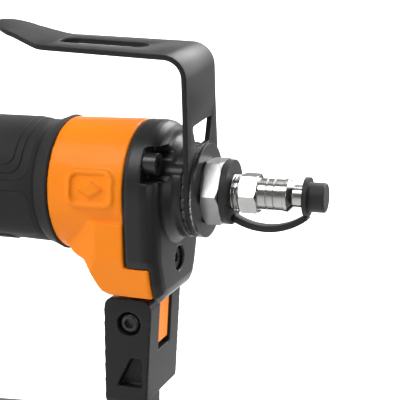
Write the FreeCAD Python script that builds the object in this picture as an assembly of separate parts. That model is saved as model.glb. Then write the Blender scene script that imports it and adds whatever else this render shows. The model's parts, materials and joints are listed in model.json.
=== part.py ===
"""Pneumatic flooring nailer: trigger-fired cleat nailer with a floor shoe.

World frame: +Z up, the sole lies on z = 0, +X points to the operator, and the
origin is the point of the sole where the cleat leaves the nose.

Two inner frames are used.  TOOL has its Z axis up the driver and its X axis
along the magazine; it leans forward so that cleats go in at 45 degrees.
HANDLE has its X axis along the handle, counted from the driver axis, and its Z
axis square to the handle on the side of the belt hook.
All sizes are millimetres.
"""
import FreeCAD
import Part
import math
import os

# ---- overall layout -------------------------------------------------------
DRIVE_ANGLE = 45.0        # lean of the driver axis away from the vertical
HANDLE_DROOP = 3.5        # handle axis against the magazine axis
HANDLE_HEIGHT = 178.0     # handle axis above the nose tip, along the driver
RUNNING_GAP = 0.05        # radial clearance of a sliding or turning fit
CLEARANCE = 0.3           # air between neighbours that only pass each other

# ---- barrel, cylinder and driver (heights along the driver axis) ----------
BARREL_RADIUS = 39.0
BARREL_BOTTOM = 84.0
BARREL_TOP = 196.0
BARREL_WALL = 4.5
BORE_RADIUS = 22.0
SLEEVE_WALL = 2.5
SLEEVE_TOP = 192.0
SLEEVE_COLLAR = 8.0       # height of the ring that centres the sleeve
PISTON_HEIGHT = 14.0
PISTON_REST = 174.0       # underside of the piston when it is ready to fire
BUMPER_HEIGHT = 20.0
DRIVER_WIDTH = 6.4
DRIVER_THICKNESS = 1.6
RING_SECTION = 2.2        # cord of the piston ring
VALVE_RADIUS = 27.5
VALVE_HEIGHT = 12.0
VALVE_TRAVEL = 5.0
VALVE_SPRING = 8.0        # height of the head valve's spring
VALVE_STEM_RADIUS = 9.0
CAP_HEIGHT = 34.0
GASKET_THICKNESS = 1.0
CAP_SCREW_RADIUS = 2.5    # M5 socket screws
CAP_SCREW_HEAD = 4.25
CAP_SCREW_CIRCLE = 34.5
SCREW_BOSS_RADIUS = 4.9
DEFLECTOR_RADIUS = 24.0
DEFLECTOR_HEIGHT = 15.0

# ---- nose and magazine ----------------------------------------------------
NOSE_WIDTH = 26.0
NOSE_DEPTH = 20.0
NOSE_FLANGE_RADIUS = 36.0
NOSE_FLANGE = 7.0
NOSE_DOOR = 4.0           # thickness of the jam-clearing door
NOSE_TIP_LIFT = 1.0       # nose tip above the sole plane
BLADE_GAP = 2.5           # driver tip above the cleat heads when ready
DOOR_PIVOT_X = -14.0
DOOR_PIVOT_Z = 70.0
LATCH_PIVOT_Z = 38.0
LATCH_STUD_X = -1.0
LATCH_STUD_Z = 31.0
EAR_PLATE = 2.0
LEVER_LENGTH = 16.0
ARM_PLATE = 2.0
ARM_TRAVEL = 8.0
ARM_ROD_X = 49.0
ARM_ROD_RADIUS = 2.5
WHEEL_RADIUS = 8.5
CLEAT_LENGTH = 50.0
MAG_START = 12.0
MAG_END = 272.0
MAG_BOTTOM = 8.0
MAG_TOP = 64.0
MAG_WIDTH = 22.0
MAG_WALL = 2.0
MAG_SLOT = 7.0            # side slot for the pusher knob
PUSHER_LENGTH = 34.0
PUSHER_REST = 30.0        # front face of the pusher with an empty magazine
PUSHER_TRAVEL = 180.0

# ---- handle (distances along the handle axis) -----------------------------
CORE_RADIUS = 21.5
RESERVOIR_RADIUS = 17.5
GRIP_START = 84.0
GRIP_END = 238.0
GRIP_RADIUS = 25.0
GRIP_FLARE = 9.0
COLLAR_RADIUS = 26.9
COLLAR_END = 269.0
SKIRT_DEPTH = 27.0        # underside of the cap where it rests on the tab
KEEL_DEPTH = 39.5         # underside of the collar
TAB_LENGTH = 9.7          # how far the keel reaches past the collar face
LUG_THICKNESS = 11.5
LUG_DEPTH = 63.0
BADGE_LENGTH = 19.0
BADGE_HEIGHT = 14.5
BADGE_PROUD = 0.9

# ---- rear cap and air inlet -----------------------------------------------
CAP_DEPTH = 12.5
CAP_ROUND = 6.0           # rounding of the cap's rear rim
CHIN_DEPTH = 43.5         # lower end of the cap, below the axis
BOSS_FOOT = 3.5           # size of the cone at the foot of the boss
BOSS_RADIUS = 18.6
BOSS_LENGTH = 7.0
REAR_BOLT_Y = 18.5
REAR_BOLT_Z = 12.5
REAR_BOLT_LOW = 28.2
TONGUE_HALF = 8.0         # tongue of the cap that takes the low bolt
TONGUE_DEPTH = 36.0
POCKET_INNER = 10.5
POCKET_HEIGHT = 12.6
INLET_RADIUS = 9.0        # threaded shank of the inlet bushing
INLET_BORE = 4.2
INLET_NUT = 24.0          # across the flats
INLET_NUT_LENGTH = 7.5
RING_THICKNESS = 1.3
LOCK_WASHER = 0.8
FLAT_WASHER = 1.2
WASHER_RADIUS = 18.5
TETHER_RING = 2.5
TETHER_RING_RADIUS = 12.6
THREAD_LENGTH = 3.6
THREAD_RADIUS = 6.6
PLUG_HEX = 14.3
PLUG_HEX_LENGTH = 7.0
PLUG_BODY_RADIUS = 6.1
PLUG_BODY_LENGTH = 11.4
PLUG_CONE_LENGTH = 2.0
PLUG_NECK_RADIUS = 4.3
PLUG_NECK_LENGTH = 4.2
PLUG_TIP_RADIUS = 5.0
PLUG_TIP_LENGTH = 5.6
DUST_CAP_RADIUS = 7.5
DUST_CAP_BRIM = 1.8
DUST_CAP_BODY = 5.7
DUST_CAP_LENGTH = 8.2
STRAP_WIDTH = 5.0
STRAP_THICKNESS = 2.4
STRAP_START = 9.6         # where the strap leaves the ring, below the axis
STRAP_DROP = 13.2         # how far the strap bows below the axis

# ---- belt hook ------------------------------------------------------------
HOOK_THICKNESS = 2.0
HOOK_HALF_WIDTH = 17.0
HOOK_END_RADIUS = 18.4
HOOK_HEIGHT = 53.3
HOOK_BEND = 7.0
HOOK_RISE = 2.5           # the long leg climbs towards its tip
HOOK_LEG = 52.0
HOOK_TIP = 24.0
HOOK_TIP_RISE = 18.0
HOOK_TIP_HALF_WIDTH = 11.0
HOOK_KNEE_HALF_WIDTH = 15.0
HOOK_KNEE_RADIUS = 22.0
HOOK_SWIVEL = 5.0
HOOK_SLOT_WIDTH = 11.0
HOOK_SLOT_LENGTH = 37.0

# ---- magazine bracket -----------------------------------------------------
BRACKET_WIDTH = 34.0
BRACKET_FRONT = 256.8
BRACKET_REAR = 274.5
BRACKET_FLARE = 2.4       # the rear face leans out towards the top
BRACKET_TOP = 41.8
BRACKET_BLOCK = 84.0      # lower end of the thick part, below the axis
FORK_GAP = 12.5
BRACKET_SCREW_RADIUS = 3.0
BRACKET_SCREW_HEAD = 4.0
BRACKET_SCREW_DROP = 52.0
EAR_DEPTH = 119.0         # lower end of the ears beside the magazine
EAR_STEP = 0.6            # the ears stand a little inside the block

# ---- trigger --------------------------------------------------------------
TRIGGER_WIDTH = 15.0
TRIGGER_PIVOT_X = 48.0
TRIGGER_PIVOT_DROP = 34.0
PIN_RADIUS = 2.0
VALVE_BODY_RADIUS = 8.0
VALVE_X = 64.0
VALVE_FACE = 28.0         # roof of the trigger pocket, below the axis
STEM_RADIUS = 2.5

# ---- shoe -----------------------------------------------------------------
SHOE_FRONT = -62.0
SHOE_REAR = 118.0
SHOE_HALF_WIDTH = 46.0
SHOE_THICKNESS = 5.0
SOLE_THICKNESS = 4.0
SHOE_SLOT_HALF_WIDTH = 19.0
SHOE_SLOT_REAR = 30.0
RAIL_THICKNESS = 4.0
KNOB_RADIUS = 9.0


# ---- plain shapes ---------------------------------------------------------
def vec(x, y, z):
    return FreeCAD.Vector(x, y, z)


def block(x0, x1, y0, y1, z0, z1):
    """A box between two corners."""
    return Part.makeBox(x1 - x0, y1 - y0, z1 - z0, vec(x0, y0, z0))


def rod(radius, x0, x1, y=0.0, z=0.0):
    """A cylinder along X."""
    return Part.makeCylinder(radius, x1 - x0, vec(x0, y, z), vec(1, 0, 0))


def post(radius, z0, z1, x=0.0, y=0.0):
    """A cylinder along Z."""
    return Part.makeCylinder(radius, z1 - z0, vec(x, y, z0), vec(0, 0, 1))


def pin(radius, y0, y1, x, z):
    """A cylinder along Y."""
    return Part.makeCylinder(radius, y1 - y0, vec(x, y0, z), vec(0, 1, 0))


def cone_x(r0, r1, x0, x1):
    """A truncated cone along X."""
    return Part.makeCone(r0, r1, x1 - x0, vec(x0, 0, 0), vec(1, 0, 0))


def cone_z(r0, r1, z0, z1):
    """A truncated cone along Z."""
    return Part.makeCone(r0, r1, z1 - z0, vec(0, 0, z0), vec(0, 0, 1))


def slab_xz(points, y0, y1):
    """A flat outline in the XZ plane, given thickness along Y."""
    wire = Part.makePolygon([vec(x, y0, z) for x, z in points + points[:1]])
    return Part.Face(wire).extrude(vec(0, y1 - y0, 0))


def slab_yz(points, x0, x1):
    """A flat outline in the YZ plane, given thickness along X."""
    wire = Part.makePolygon([vec(x0, y, z) for y, z in points + points[:1]])
    return Part.Face(wire).extrude(vec(x1 - x0, 0, 0))


def slab_xy(points, z0, z1):
    """A flat outline in the XY plane, given thickness along Z."""
    wire = Part.makePolygon([vec(x, y, z0) for x, y in points + points[:1]])
    return Part.Face(wire).extrude(vec(0, 0, z1 - z0))


def hex_rod(flats, x0, x1):
    """A hexagonal bar along X with a corner towards -Y and its ends chamfered."""
    corner = flats / math.sqrt(3)
    points = []
    for step in range(6):
        angle = math.radians(60 * step)
        points.append((corner * math.cos(angle), corner * math.sin(angle)))
    bar = slab_yz(points, x0, x1)
    chamfer = corner - flats / 2
    middle = (x0 + x1) / 2
    reach = corner - chamfer * 0.9 + (middle - x0) / math.tan(math.radians(30))
    front = cone_x(corner - chamfer * 0.9, reach, x0, middle)
    back = cone_x(reach, corner - chamfer * 0.9, middle, x1)
    return bar.common(front.fuse(back))


def round_edges(shape, radius, keep):
    """Fillet the edges that the test keep(edge) picks."""
    return shape.makeFillet(radius, [edge for edge in shape.Edges if keep(edge)])


def along(axis):
    """An edge test: straight edges that run along an axis."""
    def test(edge):
        if edge.Curve.TypeId != "Part::GeomLine":
            return False
        return abs(abs(edge.tangentAt(edge.FirstParameter).dot(axis)) - 1) < 1e-6
    return test


def join(shapes):
    """One solid from overlapping shapes."""
    return shapes[0].multiFuse(shapes[1:]).removeSplitter()


def cut(shape, tools):
    """A shape with tools taken away."""
    return shape.cut(tools)


X_AXIS = vec(1, 0, 0)
Y_AXIS = vec(0, 1, 0)
Z_AXIS = vec(0, 0, 1)
TOOL = FreeCAD.Placement(vec(0, 0, NOSE_TIP_LIFT), FreeCAD.Rotation(Y_AXIS, -DRIVE_ANGLE))
HANDLE = TOOL.multiply(FreeCAD.Placement(vec(0, 0, HANDLE_HEIGHT), FreeCAD.Rotation(Y_AXIS, HANDLE_DROOP)))
FROM_TOOL_TO_HANDLE = HANDLE.inverse().multiply(TOOL)


def in_handle(shape):
    """A shape made in the tool frame, seen in the handle frame."""
    moved = shape.copy()
    moved.Placement = FROM_TOOL_TO_HANDLE.multiply(moved.Placement)
    return moved


# ---- places that several pieces share -------------------------------------
CAP_BOTTOM = BARREL_TOP + GASKET_THICKNESS
CAP_TOP = CAP_BOTTOM + CAP_HEIGHT
SLEEVE_RADIUS = BORE_RADIUS + SLEEVE_WALL
BARREL_BORE = BARREL_RADIUS - BARREL_WALL
REAR_FACE = COLLAR_END + GASKET_THICKNESS + CAP_DEPTH
BOSS_FACE = REAR_FACE + BOSS_LENGTH
HOOK_FRONT = BOSS_FACE + RING_THICKNESS
HOOK_BACK = HOOK_FRONT + HOOK_THICKNESS
LOCK_BACK = HOOK_BACK + LOCK_WASHER
WASHER_BACK = LOCK_BACK + FLAT_WASHER
NUT_BACK = WASHER_BACK + INLET_NUT_LENGTH
TETHER_BACK = NUT_BACK + TETHER_RING
HEX_FRONT = TETHER_BACK + THREAD_LENGTH
HEX_BACK = HEX_FRONT + PLUG_HEX_LENGTH
BODY_BACK = HEX_BACK + PLUG_BODY_LENGTH
CONE_BACK = BODY_BACK + PLUG_CONE_LENGTH
NECK_BACK = CONE_BACK + PLUG_NECK_LENGTH
PLUG_END = NECK_BACK + PLUG_TIP_LENGTH
BRIM_FRONT = NECK_BACK
SCREW_ANGLES = (45, 135, 225, 315)
BLADE_TIP = MAG_BOTTOM + MAG_WALL + CLEAT_LENGTH + BLADE_GAP
BRACKET_MIDDLE = BRACKET_REAR - 7.2
EAR_SCREWS = ((BRACKET_FRONT + 6, -EAR_DEPTH + 6),)
ARM_SCREW_X = 3.0
ARM_TOP = 117.0
MAG_MIDDLE = (MAG_BOTTOM + MAG_TOP) / 2
KNOB_X = PUSHER_REST + 17
SPRING_RADIUS = 10.0
SPRING_X = PUSHER_REST + 20
SOLE_SCREWS = ((-46, -32), (-46, 32), (10, -34), (10, 34), (107, -20), (107, 20))
STRUT_FRONT = 44.0
STRUT_REAR = 96.0
STRUT_TOP = 28.0
STRUT_FOOT = 28.0
STRUT_BOLT_X = 84.0
STRUT_BOLT_Z = 19.0
STRUT_SCREWS = ((54, -21), (54, 21), (86, -21), (86, 21))
ARM_SCREW_HEIGHTS = (44.0, 58.0)
MAG_SCREWS = ((MAG_START + 19, MAG_BOTTOM + 14), (MAG_START + 19, MAG_TOP - 10))
ARM_INNER = NOSE_WIDTH / 2 + 3.4
ARM_OUTER = ARM_INNER + ARM_PLATE
ARM_MIDDLE = (ARM_INNER + ARM_OUTER) / 2


def ring_places(radius, angles):
    """Places on a circle about the origin."""
    return [(radius * math.cos(math.radians(a)), radius * math.sin(math.radians(a))) for a in angles]


# ---- main housing ---------------------------------------------------------
def section(x, half_width, lower):
    """A cross-section with a round top; lower lists its corners on one side, going down."""
    top = Part.Arc(vec(x, -half_width, 0), vec(x, 0, half_width), vec(x, half_width, 0)).toShape()
    corners = [(half_width, 0)] + lower + [(-y, z) for y, z in reversed(lower)] + [(-half_width, 0)]
    edges = [top]
    for (y0, z0), (y1, z1) in zip(corners, corners[1:]):
        edges.append(Part.makeLine(vec(x, y0, z0), vec(x, y1, z1)))
    return Part.Wire(Part.__sortEdges__(edges))


def prism(x0, x1, half_width, lower):
    """A cross-section with a round top, drawn out along X."""
    return Part.Face(section(x0, half_width, lower)).extrude(vec(x1 - x0, 0, 0))


def keel():
    """The lower part of the collar: flush with it at the rear, narrower and shallower in front."""
    start = GRIP_END + 1.0
    end = COLLAR_END + TAB_LENGTH
    top = -SKIRT_DEPTH - CLEARANCE
    side = slab_xz([(start, -10.0), (start + 1.0, -20.0), (start + 6.4, -24.3), (start + 12.5, -26.0),
                    (start + 15.2, -29.7), (start + 17.7, -34.8), (start + 19.5, -37.8), (start + 22.5, -39.2),
                    (end, -KEEL_DEPTH), (end, top), (COLLAR_END, top), (COLLAR_END, -10.0)], -30, 30)
    across = prism(GRIP_END, end + 1, COLLAR_RADIUS, [(26.4, -24.0), (23.5, -36.0), (22.0, -KEEL_DEPTH)])
    wedge = slab_xy([(start - 3, -14.0), (start + 19, -COLLAR_RADIUS), (end + 2, -COLLAR_RADIUS),
                     (end + 2, COLLAR_RADIUS), (start + 19, COLLAR_RADIUS), (start - 3, 14.0)], -60, 20)
    return side.common(across).common(wedge)


def lug():
    """The flat web below the keel that the bracket fork takes."""
    half = LUG_THICKNESS / 2
    outline = [(BRACKET_FRONT + 1.2, -KEEL_DEPTH + 2), (BRACKET_FRONT + 1.2, -LUG_DEPTH),
               (BRACKET_REAR + 0.4, -LUG_DEPTH), (BRACKET_REAR + 1.9, -KEEL_DEPTH + 2)]
    return slab_xz(outline, -half, half)


def badge():
    """A raised frame on the collar with a plain diamond in it."""
    middle = COLLAR_END - 12.8
    reach = COLLAR_RADIUS + 4
    plate = round_edges(block(middle - BADGE_LENGTH / 2, middle + BADGE_LENGTH / 2, -reach, 0,
                              3 - BADGE_HEIGHT / 2, 3 + BADGE_HEIGHT / 2), 4.0, along(Y_AXIS))
    inner = round_edges(block(middle - BADGE_LENGTH / 2 + 1.6, middle + BADGE_LENGTH / 2 - 1.6, -reach, 0,
                              4.6 - BADGE_HEIGHT / 2, 1.4 + BADGE_HEIGHT / 2), 2.6, along(Y_AXIS))
    diamond = slab_xz([(middle - 5, 3), (middle, 0), (middle + 5, 3), (middle, 6)], -reach, 0)
    skin = rod(COLLAR_RADIUS + BADGE_PROUD, middle - BADGE_LENGTH, middle + BADGE_LENGTH)
    return [plate.cut(inner).common(skin), diamond.common(skin)]


def main_housing():
    barrel = in_handle(post(BARREL_RADIUS, BARREL_BOTTOM, BARREL_TOP))
    foot = in_handle(post(BARREL_RADIUS + 2, BARREL_BOTTOM, BARREL_BOTTOM + 8))
    crown = in_handle(post(BARREL_RADIUS + 2, BARREL_TOP - 8, BARREL_TOP))
    neck = cone_x(33.0, CORE_RADIUS + 3.5, 20.0, GRIP_START)
    core = rod(CORE_RADIUS, 20.0, GRIP_END)
    collar = Part.makeLoft([Part.Wire(Part.makeCircle(COLLAR_RADIUS - 0.5, vec(GRIP_END, 0, 0), X_AXIS)),
                            Part.Wire(Part.makeCircle(COLLAR_RADIUS, vec(COLLAR_END, 0, 0), X_AXIS))],
                           True)
    pivot_x = TRIGGER_PIVOT_X
    cheek = slab_xz([(36, -20), (36, -TRIGGER_PIVOT_DROP - 2), (pivot_x - 5, -TRIGGER_PIVOT_DROP - 6),
                     (pivot_x + 5, -TRIGGER_PIVOT_DROP - 6), (pivot_x + 12, -TRIGGER_PIVOT_DROP),
                     (GRIP_START - 2, -22)], -TRIGGER_WIDTH / 2 - 4, TRIGGER_WIDTH / 2 + 4)
    trigger_gap = block(pivot_x - 8, GRIP_START + 20, -TRIGGER_WIDTH / 2 - CLEARANCE,
                        TRIGGER_WIDTH / 2 + CLEARANCE, -60, -VALVE_FACE)
    body = join([barrel, foot, crown, neck, core, collar, keel(), lug(), cheek] + badge())
    tools = [
        in_handle(post(BARREL_BORE, BARREL_BOTTOM + NOSE_FLANGE, BARREL_TOP + 1)),
        in_handle(post(SLEEVE_RADIUS + 5, BARREL_BOTTOM - 1, BARREL_BOTTOM + NOSE_FLANGE + 1)),
        rod(RESERVOIR_RADIUS, 30.0, COLLAR_END + 1),
        trigger_gap,
        post(VALVE_BODY_RADIUS, -VALVE_FACE - 1, -RESERVOIR_RADIUS + 4, VALVE_X, 0),
        pin(PIN_RADIUS, -20, 20, pivot_x, -TRIGGER_PIVOT_DROP),
        pin(BRACKET_SCREW_RADIUS + CLEARANCE, -20, 20, BRACKET_MIDDLE, -BRACKET_SCREW_DROP),
    ]
    for y, z in ((-REAR_BOLT_Y, REAR_BOLT_Z), (REAR_BOLT_Y, REAR_BOLT_Z), (0, -REAR_BOLT_LOW)):
        tools.append(rod(CAP_SCREW_RADIUS, COLLAR_END - 14, COLLAR_END + 1, y, z))
    tools.append(block(COLLAR_END, COLLAR_END + TAB_LENGTH + 1, -TONGUE_HALF - CLEARANCE, TONGUE_HALF + CLEARANCE,
                       -TONGUE_DEPTH - CLEARANCE, -12))
    for x, y in ring_places(CAP_SCREW_CIRCLE, SCREW_ANGLES):
        tools.append(in_handle(post(CAP_SCREW_RADIUS, BARREL_TOP - 16, BARREL_TOP + 1, x, y)))
        tools.append(in_handle(post(CAP_SCREW_RADIUS, BARREL_BOTTOM - 1, BARREL_BOTTOM + 14, x, y)))
    bosses = []
    for x, y in ring_places(CAP_SCREW_CIRCLE, SCREW_ANGLES):
        bosses.append(in_handle(post(SCREW_BOSS_RADIUS, BARREL_TOP - 20, BARREL_TOP, x, y)))
        bosses.append(in_handle(post(SCREW_BOSS_RADIUS, BARREL_BOTTOM, BARREL_BOTTOM + 18, x, y)))
    over_the_joint = in_handle(post(BARREL_RADIUS + 4, BARREL_TOP, BARREL_TOP + 60))
    hollow = cut(body, tools[:3] + [over_the_joint])
    return cut(join([hollow] + bosses), tools[3:])


def grip_sleeve():
    straight = rod(GRIP_RADIUS, GRIP_START, GRIP_END - GRIP_FLARE)
    flare = cone_x(GRIP_RADIUS, COLLAR_RADIUS + 0.2, GRIP_END - GRIP_FLARE, GRIP_END)
    lip = rod(GRIP_RADIUS + 1.2, GRIP_START, GRIP_START + 6)
    return cut(join([straight, flare, lip]), [rod(CORE_RADIUS, GRIP_START - 1, GRIP_END + 1)])


# ---- rear cap and inlet stack ---------------------------------------------
def cap_lower(inset):
    """The lower corners of the rear cap's cross-section, drawn in by an inset."""
    corners = [(26.4, -24.0), (23.2, -34.5), (20.8, -40.5), (17.5, -CHIN_DEPTH)]
    return [(y - inset, z + inset * (0.0, 0.2, 0.6, 1.0)[step]) for step, (y, z) in enumerate(corners)]


def rear_cap():
    start = COLLAR_END + GASKET_THICKNESS
    rim = REAR_FACE - CAP_ROUND
    sections = [section(start, COLLAR_RADIUS, cap_lower(0.0))]
    for angle in (0, 22.5, 45, 67.5, 90):
        inset = CAP_ROUND * (1 - math.cos(math.radians(angle)))
        sections.append(section(rim + CAP_ROUND * math.sin(math.radians(angle)), COLLAR_RADIUS - inset,
                                cap_lower(inset)))
    dome = Part.makeLoft(sections, True, True)
    dome = dome.cut(block(start - 1, COLLAR_END + TAB_LENGTH + CLEARANCE, -40, 40, -60, -SKIRT_DEPTH))
    boss = rod(BOSS_RADIUS, start + 2, BOSS_FACE)
    boss_foot = cone_x(BOSS_RADIUS + 2.6, BOSS_RADIUS, REAR_FACE - 0.5, REAR_FACE + BOSS_FOOT)
    tongue = block(start, REAR_FACE - 1, -TONGUE_HALF, TONGUE_HALF, -TONGUE_DEPTH, -12)
    body = join([dome, boss, boss_foot, tongue])
    tools = [rod(RESERVOIR_RADIUS, start - 1, start + 5), rod(INLET_RADIUS, start, BOSS_FACE + 1)]
    for side in (-1, 1):
        y = side * REAR_BOLT_Y
        tools.append(rod(CAP_SCREW_RADIUS + CLEARANCE, start - 1, REAR_FACE + 1, y, REAR_BOLT_Z))
        tools.append(rod(CAP_SCREW_HEAD + CLEARANCE, start + 6, REAR_FACE + 9, y, REAR_BOLT_Z))
        inner, outer = side * POCKET_INNER, side * (COLLAR_RADIUS + 4)
        pocket = block(start + 6, REAR_FACE + 9, min(inner, outer), max(inner, outer),
                       REAR_BOLT_Z - POCKET_HEIGHT / 2, REAR_BOLT_Z + POCKET_HEIGHT / 2)
        tools.append(pocket.cut(rod(BOSS_RADIUS + 0.8, start, REAR_FACE + 10)))
    tools.append(rod(CAP_SCREW_RADIUS + CLEARANCE, start - 1, REAR_FACE + 9, 0, -REAR_BOLT_LOW))
    tools.append(rod(CAP_SCREW_HEAD + 0.8, start + 6, REAR_FACE + 9, 0, -REAR_BOLT_LOW))
    return cut(body, tools)


def rear_cap_gasket():
    plate = prism(COLLAR_END, COLLAR_END + GASKET_THICKNESS, COLLAR_RADIUS - 1,
                  [(COLLAR_RADIUS - 1.5, -14.0), (COLLAR_RADIUS - 2.5, -SKIRT_DEPTH + 1)])
    holes = [rod(RESERVOIR_RADIUS, COLLAR_END - 1, COLLAR_END + 2)]
    for y, z in ((-REAR_BOLT_Y, REAR_BOLT_Z), (REAR_BOLT_Y, REAR_BOLT_Z)):
        holes.append(rod(CAP_SCREW_RADIUS + CLEARANCE, COLLAR_END - 1, COLLAR_END + 2, y, z))
    holes.append(block(COLLAR_END - 1, COLLAR_END + 2, -6, 6, -60, -REAR_BOLT_LOW + 5))
    return cut(plate, holes)


def socket_screw(radius, head_radius, head_height, length, key):
    """A socket screw along +X whose head starts at x = 0; the shank runs to -X."""
    screw = rod(radius, -length, 0).fuse(rod(head_radius, 0, head_height))
    points = ring_places(key / math.sqrt(3), range(0, 360, 60))
    return cut(screw, [slab_yz(points, head_height - 2.5, head_height + 1)])


def rear_cap_bolts():
    start = COLLAR_END + GASKET_THICKNESS + 6
    bolts = []
    for y, z in ((-REAR_BOLT_Y, REAR_BOLT_Z), (REAR_BOLT_Y, REAR_BOLT_Z), (0, -REAR_BOLT_LOW)):
        bolt = socket_screw(CAP_SCREW_RADIUS, CAP_SCREW_HEAD, 5.0, 18.0, 4.0)
        bolt.translate(vec(start, y, z))
        bolts.append(bolt)
    return Part.makeCompound(bolts)


def toothed_ring(radius, inner, x0, x1, teeth, depth):
    """A flat ring with a knurled rim."""
    ring = rod(radius, x0, x1).cut(rod(inner, x0 - 1, x1 + 1))
    notches = []
    for y, z in ring_places(radius + depth / 2, [360.0 / teeth * step for step in range(teeth)]):
        notches.append(rod(depth, x0 - 1, x1 + 1, y, z))
    return ring.cut(notches)


def detent_ring():
    return toothed_ring(BOSS_RADIUS - 0.4, INLET_RADIUS, BOSS_FACE, HOOK_FRONT - 0.02, 24, 1.0)


def lock_washer():
    return toothed_ring(WASHER_RADIUS - 0.3, INLET_RADIUS, HOOK_BACK + 0.02, LOCK_BACK, 36, 0.6)


def flat_washer():
    return cut(rod(WASHER_RADIUS, LOCK_BACK, WASHER_BACK), [rod(INLET_RADIUS, LOCK_BACK - 1, WASHER_BACK + 1)])


def inlet_bushing():
    shank = rod(INLET_RADIUS, COLLAR_END + GASKET_THICKNESS + 3, WASHER_BACK + 0.5)
    body = join([shank, hex_rod(INLET_NUT, WASHER_BACK, NUT_BACK)])
    return cut(body, [rod(THREAD_RADIUS, NUT_BACK - 6, NUT_BACK + 1), rod(INLET_BORE, COLLAR_END, NUT_BACK + 1)])


def plug_nipple():
    parts = [
        rod(THREAD_RADIUS, NUT_BACK - 6, HEX_FRONT + 0.5),
        hex_rod(PLUG_HEX, HEX_FRONT, HEX_BACK),
        rod(PLUG_BODY_RADIUS, HEX_BACK - 0.5, BODY_BACK - 1.4),
        rod(PLUG_BODY_RADIUS + 0.25, BODY_BACK - 1.4, BODY_BACK),
        cone_x(PLUG_BODY_RADIUS + 0.25, PLUG_NECK_RADIUS, BODY_BACK, CONE_BACK),
        rod(PLUG_NECK_RADIUS, CONE_BACK - 0.5, NECK_BACK),
        rod(PLUG_TIP_RADIUS, NECK_BACK, PLUG_END - 1.0),
        cone_x(PLUG_TIP_RADIUS, PLUG_TIP_RADIUS - 1.2, PLUG_END - 1.0, PLUG_END),
    ]
    grooves = []
    for x in (HEX_BACK + 3.3, HEX_BACK + 6.2):
        grooves.append(rod(PLUG_BODY_RADIUS + 1, x, x + 0.5).cut(rod(PLUG_BODY_RADIUS - 0.35, x - 1, x + 2)))
    return cut(join(parts), grooves + [rod(3.2, NUT_BACK - 7, PLUG_END + 1)])


def dust_cap():
    cap = join([
        rod(DUST_CAP_RADIUS, BRIM_FRONT, BRIM_FRONT + DUST_CAP_BRIM),
        rod(DUST_CAP_BODY, BRIM_FRONT, BRIM_FRONT + DUST_CAP_LENGTH),
    ])
    cap = round_edges(cap, 0.8, lambda edge: edge.BoundBox.XMin > BRIM_FRONT + DUST_CAP_LENGTH - 0.01)
    return cut(cap, [rod(PLUG_TIP_RADIUS + RUNNING_GAP, BRIM_FRONT - 1, PLUG_END + 0.4)])


def tether_ring():
    ring = rod(TETHER_RING_RADIUS, NUT_BACK, TETHER_BACK)
    return cut(ring, [rod(THREAD_RADIUS, NUT_BACK - 1, TETHER_BACK + 1)])


def tether_strap():
    """The moulded strap that bows below the plug from the ring to the dust cap."""
    start = vec(TETHER_BACK, 0, -STRAP_START)
    end = vec(BRIM_FRONT + DUST_CAP_BRIM / 2, 0, -DUST_CAP_RADIUS)
    low = vec((start.x + end.x) / 2, 0, -STRAP_DROP)
    path = Part.Wire([Part.Arc(start, low, end).toShape()])
    tangent = path.Edges[0].tangentAt(path.Edges[0].FirstParameter)
    side = Y_AXIS
    up = tangent.cross(side)
    corners = []
    for a, b in ((-1, -1), (1, -1), (1, 1), (-1, 1)):
        corners.append(start + side * (a * STRAP_WIDTH / 2) + up * (b * STRAP_THICKNESS / 2))
    profile = Part.makePolygon(corners + corners[:1])
    strap = path.makePipeShell([profile], True, True)
    return cut(strap, [rod(TETHER_RING_RADIUS + 1, NUT_BACK - 5, TETHER_BACK),
                       rod(DUST_CAP_RADIUS + 0.1, BRIM_FRONT - 0.1, BRIM_FRONT + 10)])


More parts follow.
